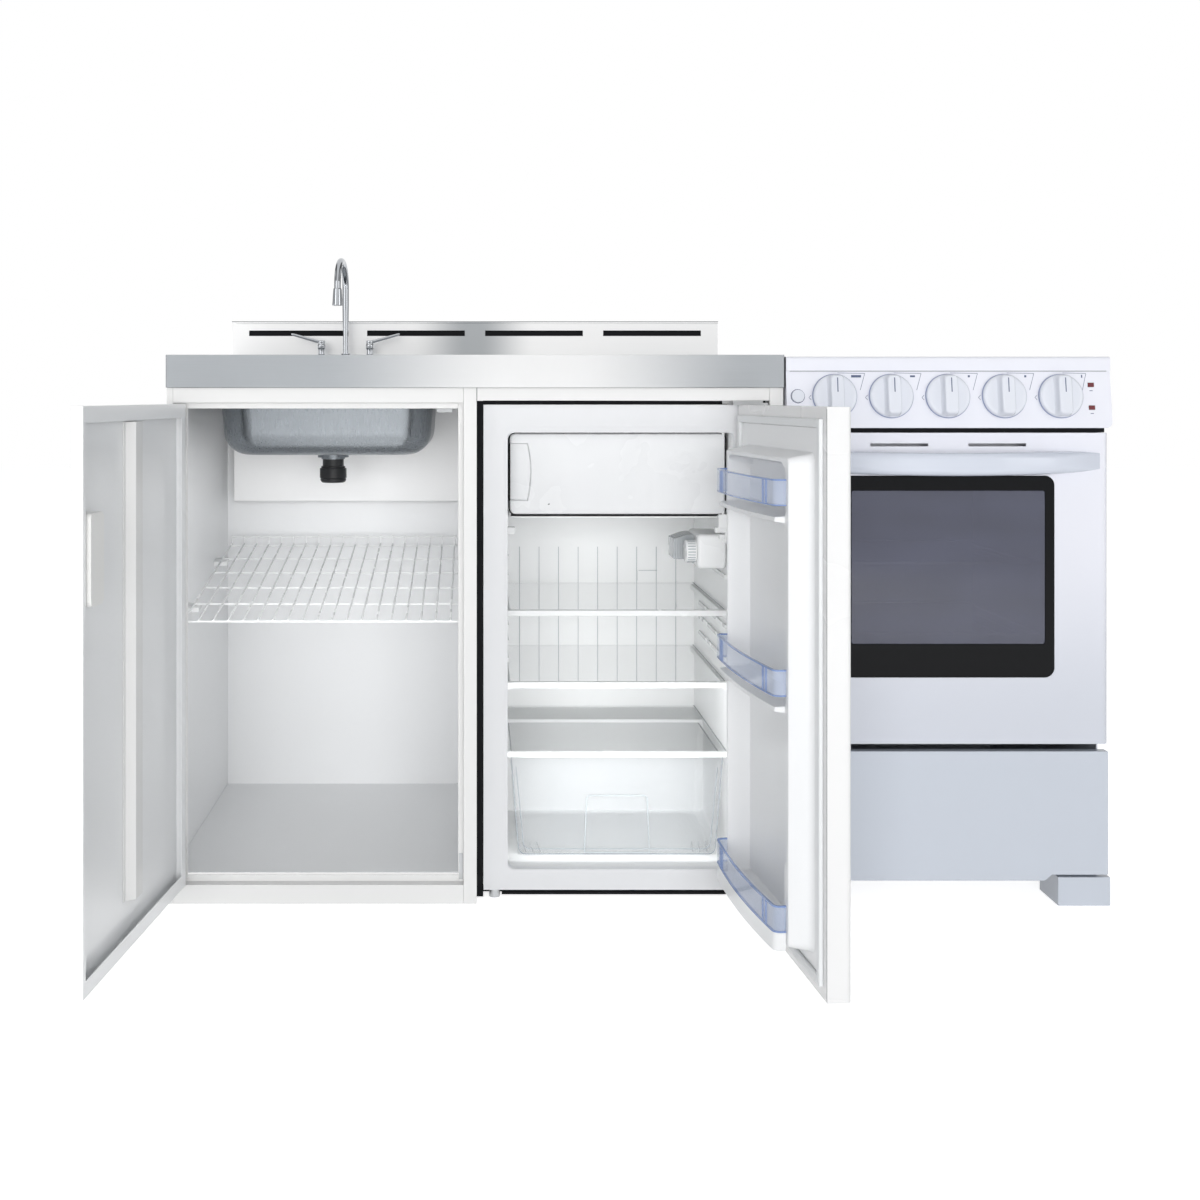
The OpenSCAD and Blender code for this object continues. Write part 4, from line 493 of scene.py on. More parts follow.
def moved(make, matrix):
    """The same shape, carried by a matrix."""

    def made(bm):
        before = set(bm.verts)
        make(bm)
        for v in bm.verts:
            if v not in before:
                v.co = matrix @ v.co

    return made


def ease(t):
    """Zero up to 0, one from 1 on, and smooth between."""
    t = min(max(t, 0.0), 1.0)
    return t * t * (3 - 2 * t)


def edge_distance(x, z, box, radius):
    """How far a point lies inside the outline of a rounded rectangle; negative outside."""
    x0, x1, z0, z1 = box
    out_x = abs(x - (x0 + x1) / 2) - (x1 - x0) / 2 + radius
    out_z = abs(z - (z0 + z1) / 2) - (z1 - z0) / 2 + radius
    return radius - math.hypot(max(out_x, 0), max(out_z, 0)) - min(max(out_x, out_z), 0)


def samples(low, high, edges, coarse, fine, reach):
    """Values from low to high, close together near the given edges."""
    values = [low]
    while values[-1] < high - coarse * 0.6:
        near = any(abs(values[-1] - edge) < reach for edge in edges)
        values.append(values[-1] + (fine if near else coarse))
    return [v for v in values if v < high - fine / 2] + [high]


def relief_skin(bm, xs, zs, front, back, box, radius):
    """A closed skin with rounded corners, whose front stands at front(x, z)."""
    x0, x1, z0, z1 = box
    rings = []
    for z in zs:
        t = max(radius - (z - z0), radius - (z1 - z), 0)
        cut = radius - math.sqrt(max(radius * radius - t * t, 0))
        low, high = x0 + cut, x1 - cut
        row = [low + (x - xs[0]) * (high - low) / (xs[-1] - xs[0]) for x in xs]
        rings.append([(x, front(x, z), z) for x in row] + [(high, back, z), (low, back, z)])
    loft(bm, rings)


def joint_pin(name):
    """The point that a joint turns about."""
    return Vector(next(j for j in frame["joints"] if j["name"] == name)["pos_m"])


# ---------- CAD nodes that keep their shape: the material, and the bevel in millimetres ----------

KEPT = {
    "countertop": ("worktop", 0.5),
    "backsplash": ("splash", 0.4),
    "sink_strainer": ("bowl", 0.3),
    "faucet_body": ("chrome", 0.5),
    "sink_bay_frame": ("cabinet", 0.5),
    "fridge_bay_frame": ("cabinet", 0.5),
    "side_panels": ("cabinet_in", 0.3),
    "partition_panel": ("cabinet_in", 0.3),
    "cabinet_floor": ("cabinet_in", 0.3),
    "cabinet_back": ("cabinet_in", 0.3),
    "rear_apron": ("apron", 0.4),
    "wire_shelf": ("trim", 0.0),
    "frame_hinges_and_catches": ("zinc", 0.2),
    "door_skin": ("door_in", 0.4),
    "door_stiffener": ("cabinet", 0.6),
    "door_pull": ("pull", 1.2),
    "door_hinge_leaves": ("zinc", 0.2),
    "fridge_shell": ("fridge", 1.0),
    "fridge_liner": ("liner", 0.4),
    "freezer_box": ("liner", 0.6),
    "thermostat_dial": ("trim", 1.2),
    "fridge_shelf_upper": ("shelf", 0.8),
    "fridge_shelf_lower": ("shelf", 0.8),
    "crisper_cover": ("shelf", 0.8),
    "crisper_drawer": ("crisper", 1.2),
    "fridge_hinges_and_feet": ("zinc", 0.5),
    "cooling_unit": ("black_steel", 0.4),
    "fridge_door_panel": ("fridge", 1.5),
    "door_gasket": ("gasket", 2.0),
    "range_shell": ("range", 0.8),
    "range_feet": ("drawer", 1.0),
    "cooktop_frame": ("range", 1.6),
    "cooktop_glass": ("hob", 0.6),
    "heating_elements": ("element", 0.4),
    "control_panel": ("range", 1.0),
    "indicator_lights": ("lamp", 0.6),
    "switch_bodies": ("black", 0.6),
    "light_button": ("knob", 0.8),
    "oven_liner": ("oven", 0.6),
    "oven_racks": ("rack", 0.0),
    "oven_door_panel": ("range", 2.0),
    "drawer_runners": ("zinc", 0.5),
    "storage_drawer": ("drawer", 1.5),
}


def dress(node, material, bevel):
    """Gives a CAD node its material, and rounds its edges a little."""
    obj = nodes[node]
    obj.data.materials.clear()
    obj.data.materials.append(mats[material])
    weld = obj.modifiers.new("weld", "WELD")
    weld.merge_threshold = 2e-6
    soften(obj, bevel * MM)


# ---------- worktop ----------


def slot_shadow_plates():
    """Black plates right behind the backsplash's four slots: painted shade that darkens the slots."""
    low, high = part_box("backsplash")
    pitch, drop = 239 * MM, 24 * MM
    half_w, half_h = 103 * MM, 9.5 * MM
    sheet_back = low.y + 3.2 * MM
    thick, corner = 1.5 * MM, 1 * MM

    def make(bm):
        z = high.z - drop
        for i in (-1.5, -0.5, 0.5, 1.5):
            x = (low.x + high.x) / 2 + i * pitch
            box = (x - half_w, x + half_w, z - half_h, z + half_h)
            slab(bm, box, sheet_back, sheet_back + thick, corner)

    piece("slot_shadow_plates", make, "black")


def unit_seam_shadows():
    """Thin dark strips: painted shadow under the worktop's edge and along the backsplash's hem, and a dark
    joint between the bays.
    """
    splash_low, splash_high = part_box("backsplash")
    bay_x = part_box("fridge_bay_frame")[0].x
    frame_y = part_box("sink_bay_frame")[0].y
    hem_y, hem_z = splash_low.y, splash_high.z
    thin, proud = 0.5 * MM, 0.1 * MM
    post_drop = 22 * MM

    def make(bm):
        across = (unit_left + MM, unit_right - MM)
        block(bm, across, (front_y + thin, frame_y), (edge_low_z + proud, edge_low_z + 1.6 * MM))
        across = (splash_low.x, splash_high.x)
        block(bm, across, (hem_y - proud, hem_y + thin), (hem_z - 1.3 * MM, hem_z - proud))
        across = (bay_x - 0.7 * MM, bay_x + 0.3 * MM)
        block(bm, across, (frame_y - 0.15 * MM, frame_y + thin), (edge_low_z - post_drop, edge_low_z))

    piece("unit_seam_shadows", make, "seam")


def bay_gap_shadows():
    """Black plates in the gap between the refrigerator and its bay and in the space below it: painted
    shadow, standing in for the shade there.
    """
    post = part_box("partition_panel")[1].x
    gap = 0.4 * MM
    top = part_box("fridge_bay_frame")[1].z - 21 * MM - gap
    y0, y1 = shell_low.y + 1 * MM, shell_low.y + 9 * MM
    left, right = shell_low.x - gap, shell_high.x + gap
    hinge_side, kick_end = shell_high.x - 60 * MM, shell_high.x - 50 * MM
    floor_gap, kick_z = 1 * MM, 4 * MM
    stop_levels, stop_h = (719 * MM, 564 * MM), 21 * MM

    def gap_shadows(bm):
        block(bm, (post + gap, left), (y0, y1), (floor_gap, top))
        block(bm, (right, unit_right - 22 * MM - gap), (y0, y1), (floor_gap, top))
        block(bm, (left, hinge_side), (y0 + 2 * MM, y1), (shell_high.z + gap, top))
        block(bm, (left, kick_end), (y0 + 16 * MM, y1 + 18 * MM), (kick_z, shell_low.z - gap))

    def lips(bm):
        """Rubber stops on the post, and a lower grey rail in front of the painted shadow under the
        refrigerator.
        """
        for z in stop_levels:
            box = (post - 1.5 * MM, shell_low.x - 4 * MM, z, z + stop_h)
            slab(bm, box, y0 - 4 * MM, y0 - gap, 1.5 * MM)
        box = (shell_low.x + 30 * MM, shell_high.x - 52 * MM, 1.2 * MM, 6.4 * MM)
        slab(bm, box, y0 + 10 * MM, y0 + 15 * MM, 1 * MM)

    piece("bay_gap_shadows", gap_shadows, "black", bevel=0.6 * MM, segments=2)
    piece("bay_lips", lips, "black")


# ---------- sink bowl ----------


def sink_bowl():
    """One pressed skin: drafted walls, a round bend, and a floor that meets the drain."""
    flange, sheet, draft = 14 * MM, 1.5 * MM, 9 * MM
    corner, floor_radius = 58 * MM, 42 * MM
    drain = 21.6 * MM
    rim_step = 0.5 * MM
    tighten = 0.7
    half_w = (bowl_high.x - bowl_low.x) / 2 - flange
    half_l = (bowl_high.y - bowl_low.y) / 2 - flange
    depth = bowl_high.z - bowl_low.z
    wall_steps, bend_steps, floor_steps = 8, 10, 6

    def ring(inset, z, radius):
        points = rounded_ring(half_w - inset, half_l - inset, radius, 10)
        return [(bowl_mid.x + x, bowl_mid.y + y, z) for x, y in points]

    def to_drain(point, t):
        angle = math.atan2(point[1] - bowl_mid.y, point[0] - bowl_mid.x)
        x = bowl_mid.x + drain * math.cos(angle)
        y = bowl_mid.y + drain * math.sin(angle)
        return (point[0] + (x - point[0]) * t, point[1] + (y - point[1]) * t, point[2])

    def wall(skin):
        rings = []
        for k in range(wall_steps + 1):
            t = k / wall_steps
            z = bowl_high.z - skin - t * (depth - floor_radius - skin)
            rings.append(ring(skin + draft * t, z, corner - skin))
        bend = floor_radius - skin
        for k in range(1, bend_steps + 1):
            a = math.pi / 2 * k / bend_steps
            shift = bend * (1 - math.cos(a))
            z = bowl_low.z + floor_radius - bend * math.sin(a)
            rings.append(ring(skin + draft + shift, z, corner - skin - tighten * shift))
        last = rings[-1]
        for k in range(1, floor_steps + 1):
            rings.append([to_drain(p, k / floor_steps) for p in last])
        return rings

    def make(bm):
        outer, inner = wall(0.0), wall(sheet)
        under = ring(-flange, bowl_high.z - sheet, corner + flange)
        upper = ring(-flange, bowl_high.z, corner + flange)
        edge = [ring(0.0, bowl_high.z - sheet, corner), under, upper]
        edge.append(ring(sheet - rim_step, bowl_high.z, corner))
        hoop(bm, list(reversed(outer))[:-1] + edge + inner)

    piece("bowl_skin", make, "bowl", stands_for="sink_bowl")


def turned(profile, sides, x, y, z):
    """A lathed shape that stands at a place."""
    return moved(lambda bm: lathe(bm, profile, sides), Matrix.Translation((x, y, z)))


def drain_pipe():
    """The tailpiece with its slip nut at the foot."""
    pipe, bore, nut = 19.05, 17.4, 24.3
    profile = [(bore, 54), (pipe, 54), (pipe, 30.2), (21.6, 29.6), (21.8, 26.4), (nut - 0.6, 26)]
    profile += [(nut, 25.2), (nut, 9), (nut - 1.4, 7.4), (nut - 0.8, 5.8), (nut - 1.6, 3.2), (21, 0.8)]
    profile += [(bore + 1.6, 0), (bore, 0.8), (bore, 54)]
    make = turned(profile, 48, bowl_mid.x, bowl_mid.y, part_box("drain_tailpiece")[0].z)
    piece("drain_pipe", make, "drain", stands_for="drain_tailpiece")


# ---------- faucet ----------


def faucet_spout():
    """A slim riser that widens, a half-round bend and a nozzle with a soft collar."""
    body_low, body_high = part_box("faucet_body")
    collar, neck = 17.3 * MM, 9.8 * MM
    foot = Vector((bowl_mid.x, (body_low.y + body_high.y) / 2, counter_z + collar))
    thin, radius, bend = 5 * MM, 6.5 * MM, 50 * MM
    turn = math.radians(-4)
    top = Vector((foot.x, foot.y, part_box("faucet_spout")[1].z - radius - bend))
    forward = Vector((math.sin(turn), -math.cos(turn), 0))
    rise_steps, bend_steps, widening = 12, 32, 1.3
    nozzle = [(4, 6.5), (6, 6.5), (6.6, 7.8), (9, 8.2), (34, 9.8), (38, 10.2), (39.6, 9.6)]
    nozzle += [(39.8, 7.6), (36, 7.4)]
    points, radii = [], []
    for k in range(rise_steps + 1):
        t = k / rise_steps
        points.append(foot.lerp(top, t))
        radii.append(thin + (radius - thin) * min(1.0, t * widening))
    for k in range(1, bend_steps + 1):
        a = math.pi * k / bend_steps
        points.append(top + forward * bend * (1 - math.cos(a)) + Vector((0, 0, bend * math.sin(a))))
        radii.append(radius)
    tip = points[-1]
    points += [tip - Vector((0, 0, drop * MM)) for drop, _ in nozzle]
    radii += [size * MM for _, size in nozzle]

    def make(bm):
        tube(bm, points, radii, 32)
        wire(bm, [foot - Vector((0, 0, neck)), foot], thin, 24)

    piece("spout_tube", make, "chrome", "spout", "faucet_spout")


def lever(side, node, body):
    """A turned hub and a flat blade that rises and widens towards its tip."""
    low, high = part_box(node)
    hub_radius, neck = 8 * MM, 7.5 * MM
    hub_x = high.x - hub_radius if side < 0 else low.x + hub_radius
    mid_y = (low.y + high.y) / 2
    reach = 0.995
    length = abs((low.x if side < 0 else high.x) - hub_x) * reach
    hub = [(5.5, 0), (7.6, 0), (8, 0.6), (8, 4), (7.2, 5.4), (7.2, 8), (7.6, 9), (7.4, 11.5)]
    hub += [(5.8, 13), (0.4, 13.5)]
    steps = 16
    root_w, widening, root_h, thinning = 4.2 * MM, 1.6 * MM, 3.6 * MM, 1.1 * MM
    tip_w, tip_h, roundness = 4.2 * MM, 1.5 * MM, 0.95
    start, share = 0.08, 0.86

    def make(bm):
        turned(hub, 40, hub_x, mid_y, low.z)(bm)
        rings = []
        rise = high.z - low.z - 8 * MM
        for k in range(steps + 1):
            t = k / steps
            x = hub_x + side * t * length
            z = low.z + neck + rise * (start + share * t)
            half_w = root_w + widening * t * t if k < steps else tip_w
            half_h = root_h - thinning * t if k < steps else tip_h
            points = rounded_ring(half_w, half_h, half_h * roundness, 5)
            rings.append([(x, mid_y + a, z + b) for a, b in points])
        loft(bm, rings)

    piece(node + "_handle", make, "chrome", body, node)


# ---------- refrigerator body ----------

LINER = 1.5 * MM
cavity = (
    shell_low.x + 38 * MM + LINER,
    shell_high.x - 38 * MM - LINER,
    shell_low.z + 32 * MM + LINER,
    shell_high.z - 44 * MM - LINER,
)


def opening_rim():
    """The soft moulded lip round the refrigerator's opening."""
    flange_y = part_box("fridge_liner")[0].y
    section = (
        (9.5, 0.2), (9.2, -0.1), (8.0, -0.2), (5.0, -0.2), (2.6, -0.1), (1.0, 0.9), (0.1, 3.2),
        (-0.3, 6.5), (-0.3, 16.0), (0.6, 16.0), (0.6, 2.0), (4.0, 0.6),
    )
    radius = 13 * MM

    def make(bm):
        hoop(bm, [upright_ring(cavity, grow * MM, radius, flange_y + y * MM) for grow, y in section])

    piece("opening_rim", make, "liner")


def back_lines():
    """The shaded side of each rib on the back wall, and the frame of the small cover between them."""
    liner_low, liner_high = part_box("fridge_liner")
    wall_y = shell_high.y - 50 * MM - LINER
    mid_x = (liner_low.x + liner_high.x) / 2
    count, pitch, half_rib = 9, 38 * MM, 1 * MM
    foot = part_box("crisper_cover")[1].z + 42 * MM
    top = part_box("thermostat_housing")[0].z
    thick = 0.9 * MM
    cover_z0, cover_z1 = top - 66 * MM, top - 46 * MM

    def make(bm):
        for i in range(count):
            x = mid_x + (i - (count - 1) / 2) * pitch - half_rib - thick
            block(bm, (x, x + thick), (wall_y - half_rib, wall_y), (foot, top))
        x0, x1, y = mid_x + 2 * pitch, mid_x + 3 * pitch, wall_y - 0.4 * MM
        wire(bm, [(x0, y, cover_z0), (x0, y, cover_z1), (x1, y, cover_z1)], 0.5 * MM, 6)

    piece("rib_shades", make, "rib")


def freezer_door():
    """The freezer's door: rounded corners, a scooped grip at its free end and a soft swell beside it."""
    low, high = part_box("freezer_door")
    box = (low.x, high.x, low.z, high.z)
    corner, rim = 10 * MM, 3.5 * MM
    grip_x, grip_z = low.x - 14 * MM, low.z + (high.z - low.z) * 0.52
    grip_a, grip_b = 50 * MM, 49 * MM
    swell_x, swell_z = low.x + 38 * MM, grip_z - 4 * MM
    swell_a, swell_b, swell_d = 62 * MM, 54 * MM, 3 * MM
    face_y = low.y + 3 * MM
    deep, shallow, wall = 8 * MM, 4 * MM, 2.4 * MM
    roundness, soft_edge = 0.22, 1.15

    def grip(x, z):
        """One well inside the scoop: flat above and below, bulging to the right."""
        across = (x - grip_x) / grip_a
        up = abs(z - grip_z) / grip_b
        inside = 1 - max(across ** 2 + roundness * up ** 2, up)
        return ease(inside * grip_b / wall)

    def front(x, z):
        t = min(max(edge_distance(x, z, box, corner) / rim, 0), 1)
        y = face_y + rim * (1 - math.sqrt(max(1 - (1 - t) ** 2, 0)))
        away = math.hypot((x - swell_x) / swell_a, (z - swell_z) / swell_b)
        y -= swell_d * ease(soft_edge - away)
        scoop = grip(x, z)
        depth = deep - shallow * ease((x - low.x) / (grip_a * 0.9))
        return y * (1 - scoop) + (face_y + depth) * scoop

    fine = 0.8 * MM
    xs = samples(low.x, high.x, (low.x, low.x + 30 * MM, high.x), 5 * MM, fine, 12 * MM)
    zs = samples(low.z, high.z, (low.z, grip_z - grip_b, grip_z + grip_b, high.z), 4 * MM, fine, 7 * MM)

    def seal(bm):
        """A dark lip round the door's back edge."""
        y0, y1 = low.y + 7 * MM, low.y + 12 * MM
        back, out = -1 * MM, 1.7 * MM
        section = ((back, y0), (out, y0), (out, y1), (back, y1))
        hoop(bm, [upright_ring(box, grow, corner, y) for grow, y in section])

    def ticks(bm):
        x, z, ys = low.x + 55 * MM, low.z + 15 * MM, (face_y - 0.15 * MM, face_y + MM)
        block(bm, (x, x + 1.1 * MM), ys, (z, z + 5 * MM))
        block(bm, (x + 9 * MM, x + 12 * MM), ys, (z + MM, z + 4 * MM))

    def skin(bm):
        relief_skin(bm, xs, zs, front, high.y, box, corner)

    body = "freezer_door"
    piece("freezer_front", skin, "freezer", body, "freezer_door")
    piece("freezer_seal", seal, "black", body)
    piece("freezer_ticks", ticks, "seam", body)


def wall_fittings():
    """Moulded clips below the freezer, and ledges and channels on the liner's side walls."""
    foot_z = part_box("freezer_box")[0].z
    x0, x1 = cavity[0], cavity[1]
    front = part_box("fridge_shelf_upper")[0].y
    clips = (
        (x1, -22, 22, -9, 9, 0, 16),
        (x1, -15, 9, -20, 8, 0, 14),
        (x1, -6, 6, -27, 18, 0, 18),
        (x0, 0, 14, -12, 12, 2, 20),
    )
    left_levels, right_levels = (544, 512, 428, 402, 372), (512, 428, 402, 372)
    ledge_w, ledge_h, ledge_in, ledge_l = 4 * MM, 7 * MM, 14 * MM, 300 * MM

    def clip(bm, x, z, w, h, y, d):
        slab(bm, (x, x + w, z, z + h), y, y + d, 1.5 * MM)

    def make(bm):
        for wall, x, w, z, h, y, d in clips:
            clip(bm, wall + x * MM, foot_z + z * MM, w * MM, h * MM, front + y * MM, d * MM)
        for x, levels in ((x0, left_levels), (x1 - ledge_w, right_levels)):
            for z in levels:
                clip(bm, x, z * MM, ledge_w, ledge_h, front + ledge_in, ledge_l)

    piece("wall_fittings", make, "trim")


def thermostat():
    """A rounded housing with printed ticks, and a ribbed clear cover over the lamp beside it."""
    low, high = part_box("thermostat_housing")
    dial_low, dial_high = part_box("thermostat_dial")
    pin = joint_pin("thermostat_turn")
    house_x = dial_high.x + 0.3 * MM
    section = ((-7, 0), (-4, 0.6), (-1.6, 2.4), (-0.4, 5), (0, 9), (0, 112), (-1, 118), (-5, 120))
    corner, spindle = 7 * MM, 3 * MM
    ticks = ((8, 36, 1.6, 12), (8, 18, 4, 2), (16, 44, 10, 1.2), (16, 12, 10, 1.2))
    ribs, sag = 9, 10 * MM
    grips, grip_radius = 24, (dial_high.z - dial_low.z) / 2 - 0.3 * MM

    def housing(bm):
        box = (house_x, high.x, low.z, high.z)
        loft(bm, [upright_ring(box, grow * MM, corner, low.y + y * MM) for grow, y in section])
        end = Vector((dial_low.x + 2.2 * MM, pin.y, pin.z))
        wire(bm, [pin + Vector((2 * MM, 0, 0)), end], spindle, 24)

    def cover(bm):
        x0, z0, z1 = low.x, low.z + 12 * MM, high.z - 4 * MM
        y0, y1 = low.y + 42 * MM, high.y - 6 * MM
        pitch = (house_x - 0.4 * MM - x0) / ribs
        for k in range(ribs):
            sink = sag * (1 - math.sin(math.pi / 2 * (k + 1) / ribs))
            box = (x0 + pitch * k, x0 + pitch * (k + 1) + 0.3 * MM, z0, z1 - sink)
            slab(bm, box, y0 + sink, y1, 1.2 * MM)

    def marks(bm):
        y = low.y + 0.4 * MM
        for x, z, w, h in ticks:
            xs = (house_x + x * MM, house_x + (x + w) * MM)
            block(bm, xs, (y, y + 2 * MM), (low.z + z * MM, low.z + (z + h) * MM))

    def knurl(bm):
        x0, x1 = dial_low.x + 3 * MM, dial_high.x - 2 * MM
        for y, z in circle(grip_radius, grips):
            wire(bm, [(x0, pin.y + y, pin.z + z), (x1, pin.y + y, pin.z + z)], 0.9 * MM)

    piece("thermostat_case", housing, "trim", stands_for="thermostat_housing")
    piece("lamp_cover", cover, "lamp_cover")
    piece("thermostat_marks", marks, "rib")
    piece("dial_grips", knurl, "rib", "thermostat")


def shelf_trim(node, body):
    """White plastic edging along the front of a glass shelf, and a thin bead along its sides."""
    low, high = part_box(node)
    over, above = 0.2 * MM, 0.5 * MM
    section = ((-0.6, 2.2), (0, 0.8), (2.5, 0), (8.6, 0), (9.6, 0.8))
    bead, bead_in = 0.8 * MM, 1.2 * MM

    def edging(bm):
        x0, x1 = low.x - over, high.x + over
        rings = []
        for y, drop in section:
            y, z0, z1 = low.y + y * MM, low.z + drop * MM, high.z + above - drop * MM
            rings.append([(x0, y, z0), (x1, y, z0), (x1, y, z1), (x0, y, z1)])
        loft(bm, rings)

    def sides(bm):
        z = high.z - MM
        for x in (low.x + bead_in, high.x - bead_in):
            wire(bm, [(x, low.y + 10 * MM, z), (x, high.y - 2 * MM, z)], bead)

    piece(node + "_trim", edging, "trim", body)
    piece(node + "_beads", sides, "bead", body)


def crisper_lines():
    """The crisper's thick edges, its corner feet and the moulded handle on its front."""
    low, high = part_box("crisper_drawer")
    y = low.y - 0.1 * MM
    taper, corner, steps = 12 * MM, 12 * MM, 6
    mid_x, half = (low.x + high.x) / 2, (high.x - low.x) / 2
    rim_z = high.z - MM

    def outline(inset, top, depth):
        x0, x1, z0 = low.x + inset, high.x - inset, low.z + inset
        points = [(x0, depth, top)]
        for k in range(steps + 1):
            a = math.pi / 2 * k / steps
            x = x0 + taper + corner * (1 - math.cos(a))
            points.append((x, depth, z0 + corner * (1 - math.sin(a))))
        return points + [(x0 + x1 - x, d, z) for x, d, z in reversed(points)]

    def lines(bm):
        wire(bm, outline(0.8 * MM, rim_z, y + 1.2 * MM), 0.8 * MM)
        wire(bm, outline(9 * MM, high.z - 18 * MM, y + 2.2 * MM), 0.6 * MM)
        for side in (-1, 1):
            x = mid_x + side * (half - 2 * MM)
            wire(bm, [(x, y + 3 * MM, rim_z), (x, high.y - 3 * MM, rim_z)], 0.9 * MM)
            for inward in (26, 38, 50):
                x = mid_x + side * (half - inward * MM)
                ends = [(x, y + 8 * MM, low.z + 3 * MM), (x + side * 5 * MM, y + 60 * MM, low.z + 4 * MM)]
                wire(bm, ends, 0.7 * MM, 6)

    def handle(bm):
        path = [(-55, 4), (-51, 96), (-47, 100), (47, 100), (51, 96), (55, 4), (-55, 4)]
        wire(bm, [(mid_x + x * MM, y - 0.3 * MM, low.z + z * MM) for x, z in path], 0.9 * MM)

    piece("crisper_lines", lines, "crisper_edge", "crisper")
    piece("crisper_handle", handle, "rib", "crisper")


# ---------- refrigerator door: drawn closed, then turned to where it rests ----------

# Millimetres in the closed door's place
RACK_FOOT = (672, 410, 86)
RACK_DROP, RACK_FLOOR = 14, 11
RACK_X = (-175, 129)
DOOR_BACK = -608.0
REFRIGERATOR_OPEN = 95


def door_piece(name, make, material, stands_for=None, bevel=0.0):
    """A piece of the refrigerator's door, drawn with the door closed."""
    pin = joint_pin("refrigerator_door_hinge")
    swing = Matrix.Rotation(math.radians(REFRIGERATOR_OPEN), 4, "Z")
    place = Matrix.Translation(pin) @ swing @ Matrix.Translation(-pin)
    piece(name, moved(make, place), material, "refrigerator_door", stands_for, bevel)


def door_liner():
    """One moulded skin: rounded pockets between soft ridges, and racks that stand out of them."""
    plate, ridge, reach, bow = 1.5, 36.0, 57, 7
    outline = (-220, 174, 42, 779)
    ridges = (-201, 155, 59, 746)
    rack_x0, rack_x1 = RACK_X
    mid, half = (rack_x0 + rack_x1) / 2, (rack_x1 - rack_x0) / 2
    levels = [foot - RACK_DROP for foot in RACK_FOOT]
    floors = [level - RACK_FLOOR for level in levels]
    tops = [727] + floors[:2]
    step_z, step_w = 183, 6
    ridge_corner, wide_corner, small_corner, rack_corner, skin_corner = 16, 24, 7, 3, 4
    ridge_slope, pocket_slope, rack_slope = 10, 9, 2.4

    def depth(x, z):
        level = plate + (ridge - plate) * ease(edge_distance(x, z, ridges, ridge_corner) / ridge_slope)
        for z0, z1 in zip(levels, tops):
            corner = wide_corner if z > (z0 + z1) / 2 else small_corner
            inside = edge_distance(x, z, (rack_x0, rack_x1, z0, z1), corner)
            if z < step_z:
                inside = min(inside, x - rack_x0 - step_w)
            level += (plate - level) * ease(inside / pocket_slope + 0.5)
        bowed = reach - bow * ((x - mid) / half) ** 2
        for z0, z1 in zip(floors, levels):
            inside = edge_distance(x, z, (rack_x0 - 1, rack_x1 + 1, z0, z1), rack_corner)
            level += (bowed - level) * ease(inside / rack_slope)
        return level

    def front(x, z):
        return (DOOR_BACK + depth(x / MM, z / MM)) * MM

    side_edges = (ridges[0] + 4, rack_x0, rack_x1, ridges[1] - 4)
    level_edges = [ridges[2] + 3, ridges[3] - 3, tops[0]] + levels + floors
    xs = [v * MM for v in samples(outline[0], outline[1], side_edges, 7, 1.2, 10)]
    zs = [v * MM for v in samples(outline[2], outline[3], level_edges, 8, 1.1, 9)]
    box = tuple(v * MM for v in outline)

    def skin(bm):
        relief_skin(bm, xs, zs, front, (DOOR_BACK + 0.2) * MM, box, skin_corner * MM)

    def edge_seam(bm):
        """The joint between the door's steel shell and its plastic back."""
        y = (DOOR_BACK - 0.3) * MM
        zs = (shell_low.z + 3 * MM, shell_high.z - 3 * MM)
        block(bm, (shell_low.x + MM, shell_low.x + 1.9 * MM), (y, y + 0.5 * MM), zs)

    door_piece("door_liner_skin", skin, "door_liner", "fridge_door_liner")
    door_piece("door_edge_seam", edge_seam, "seam")


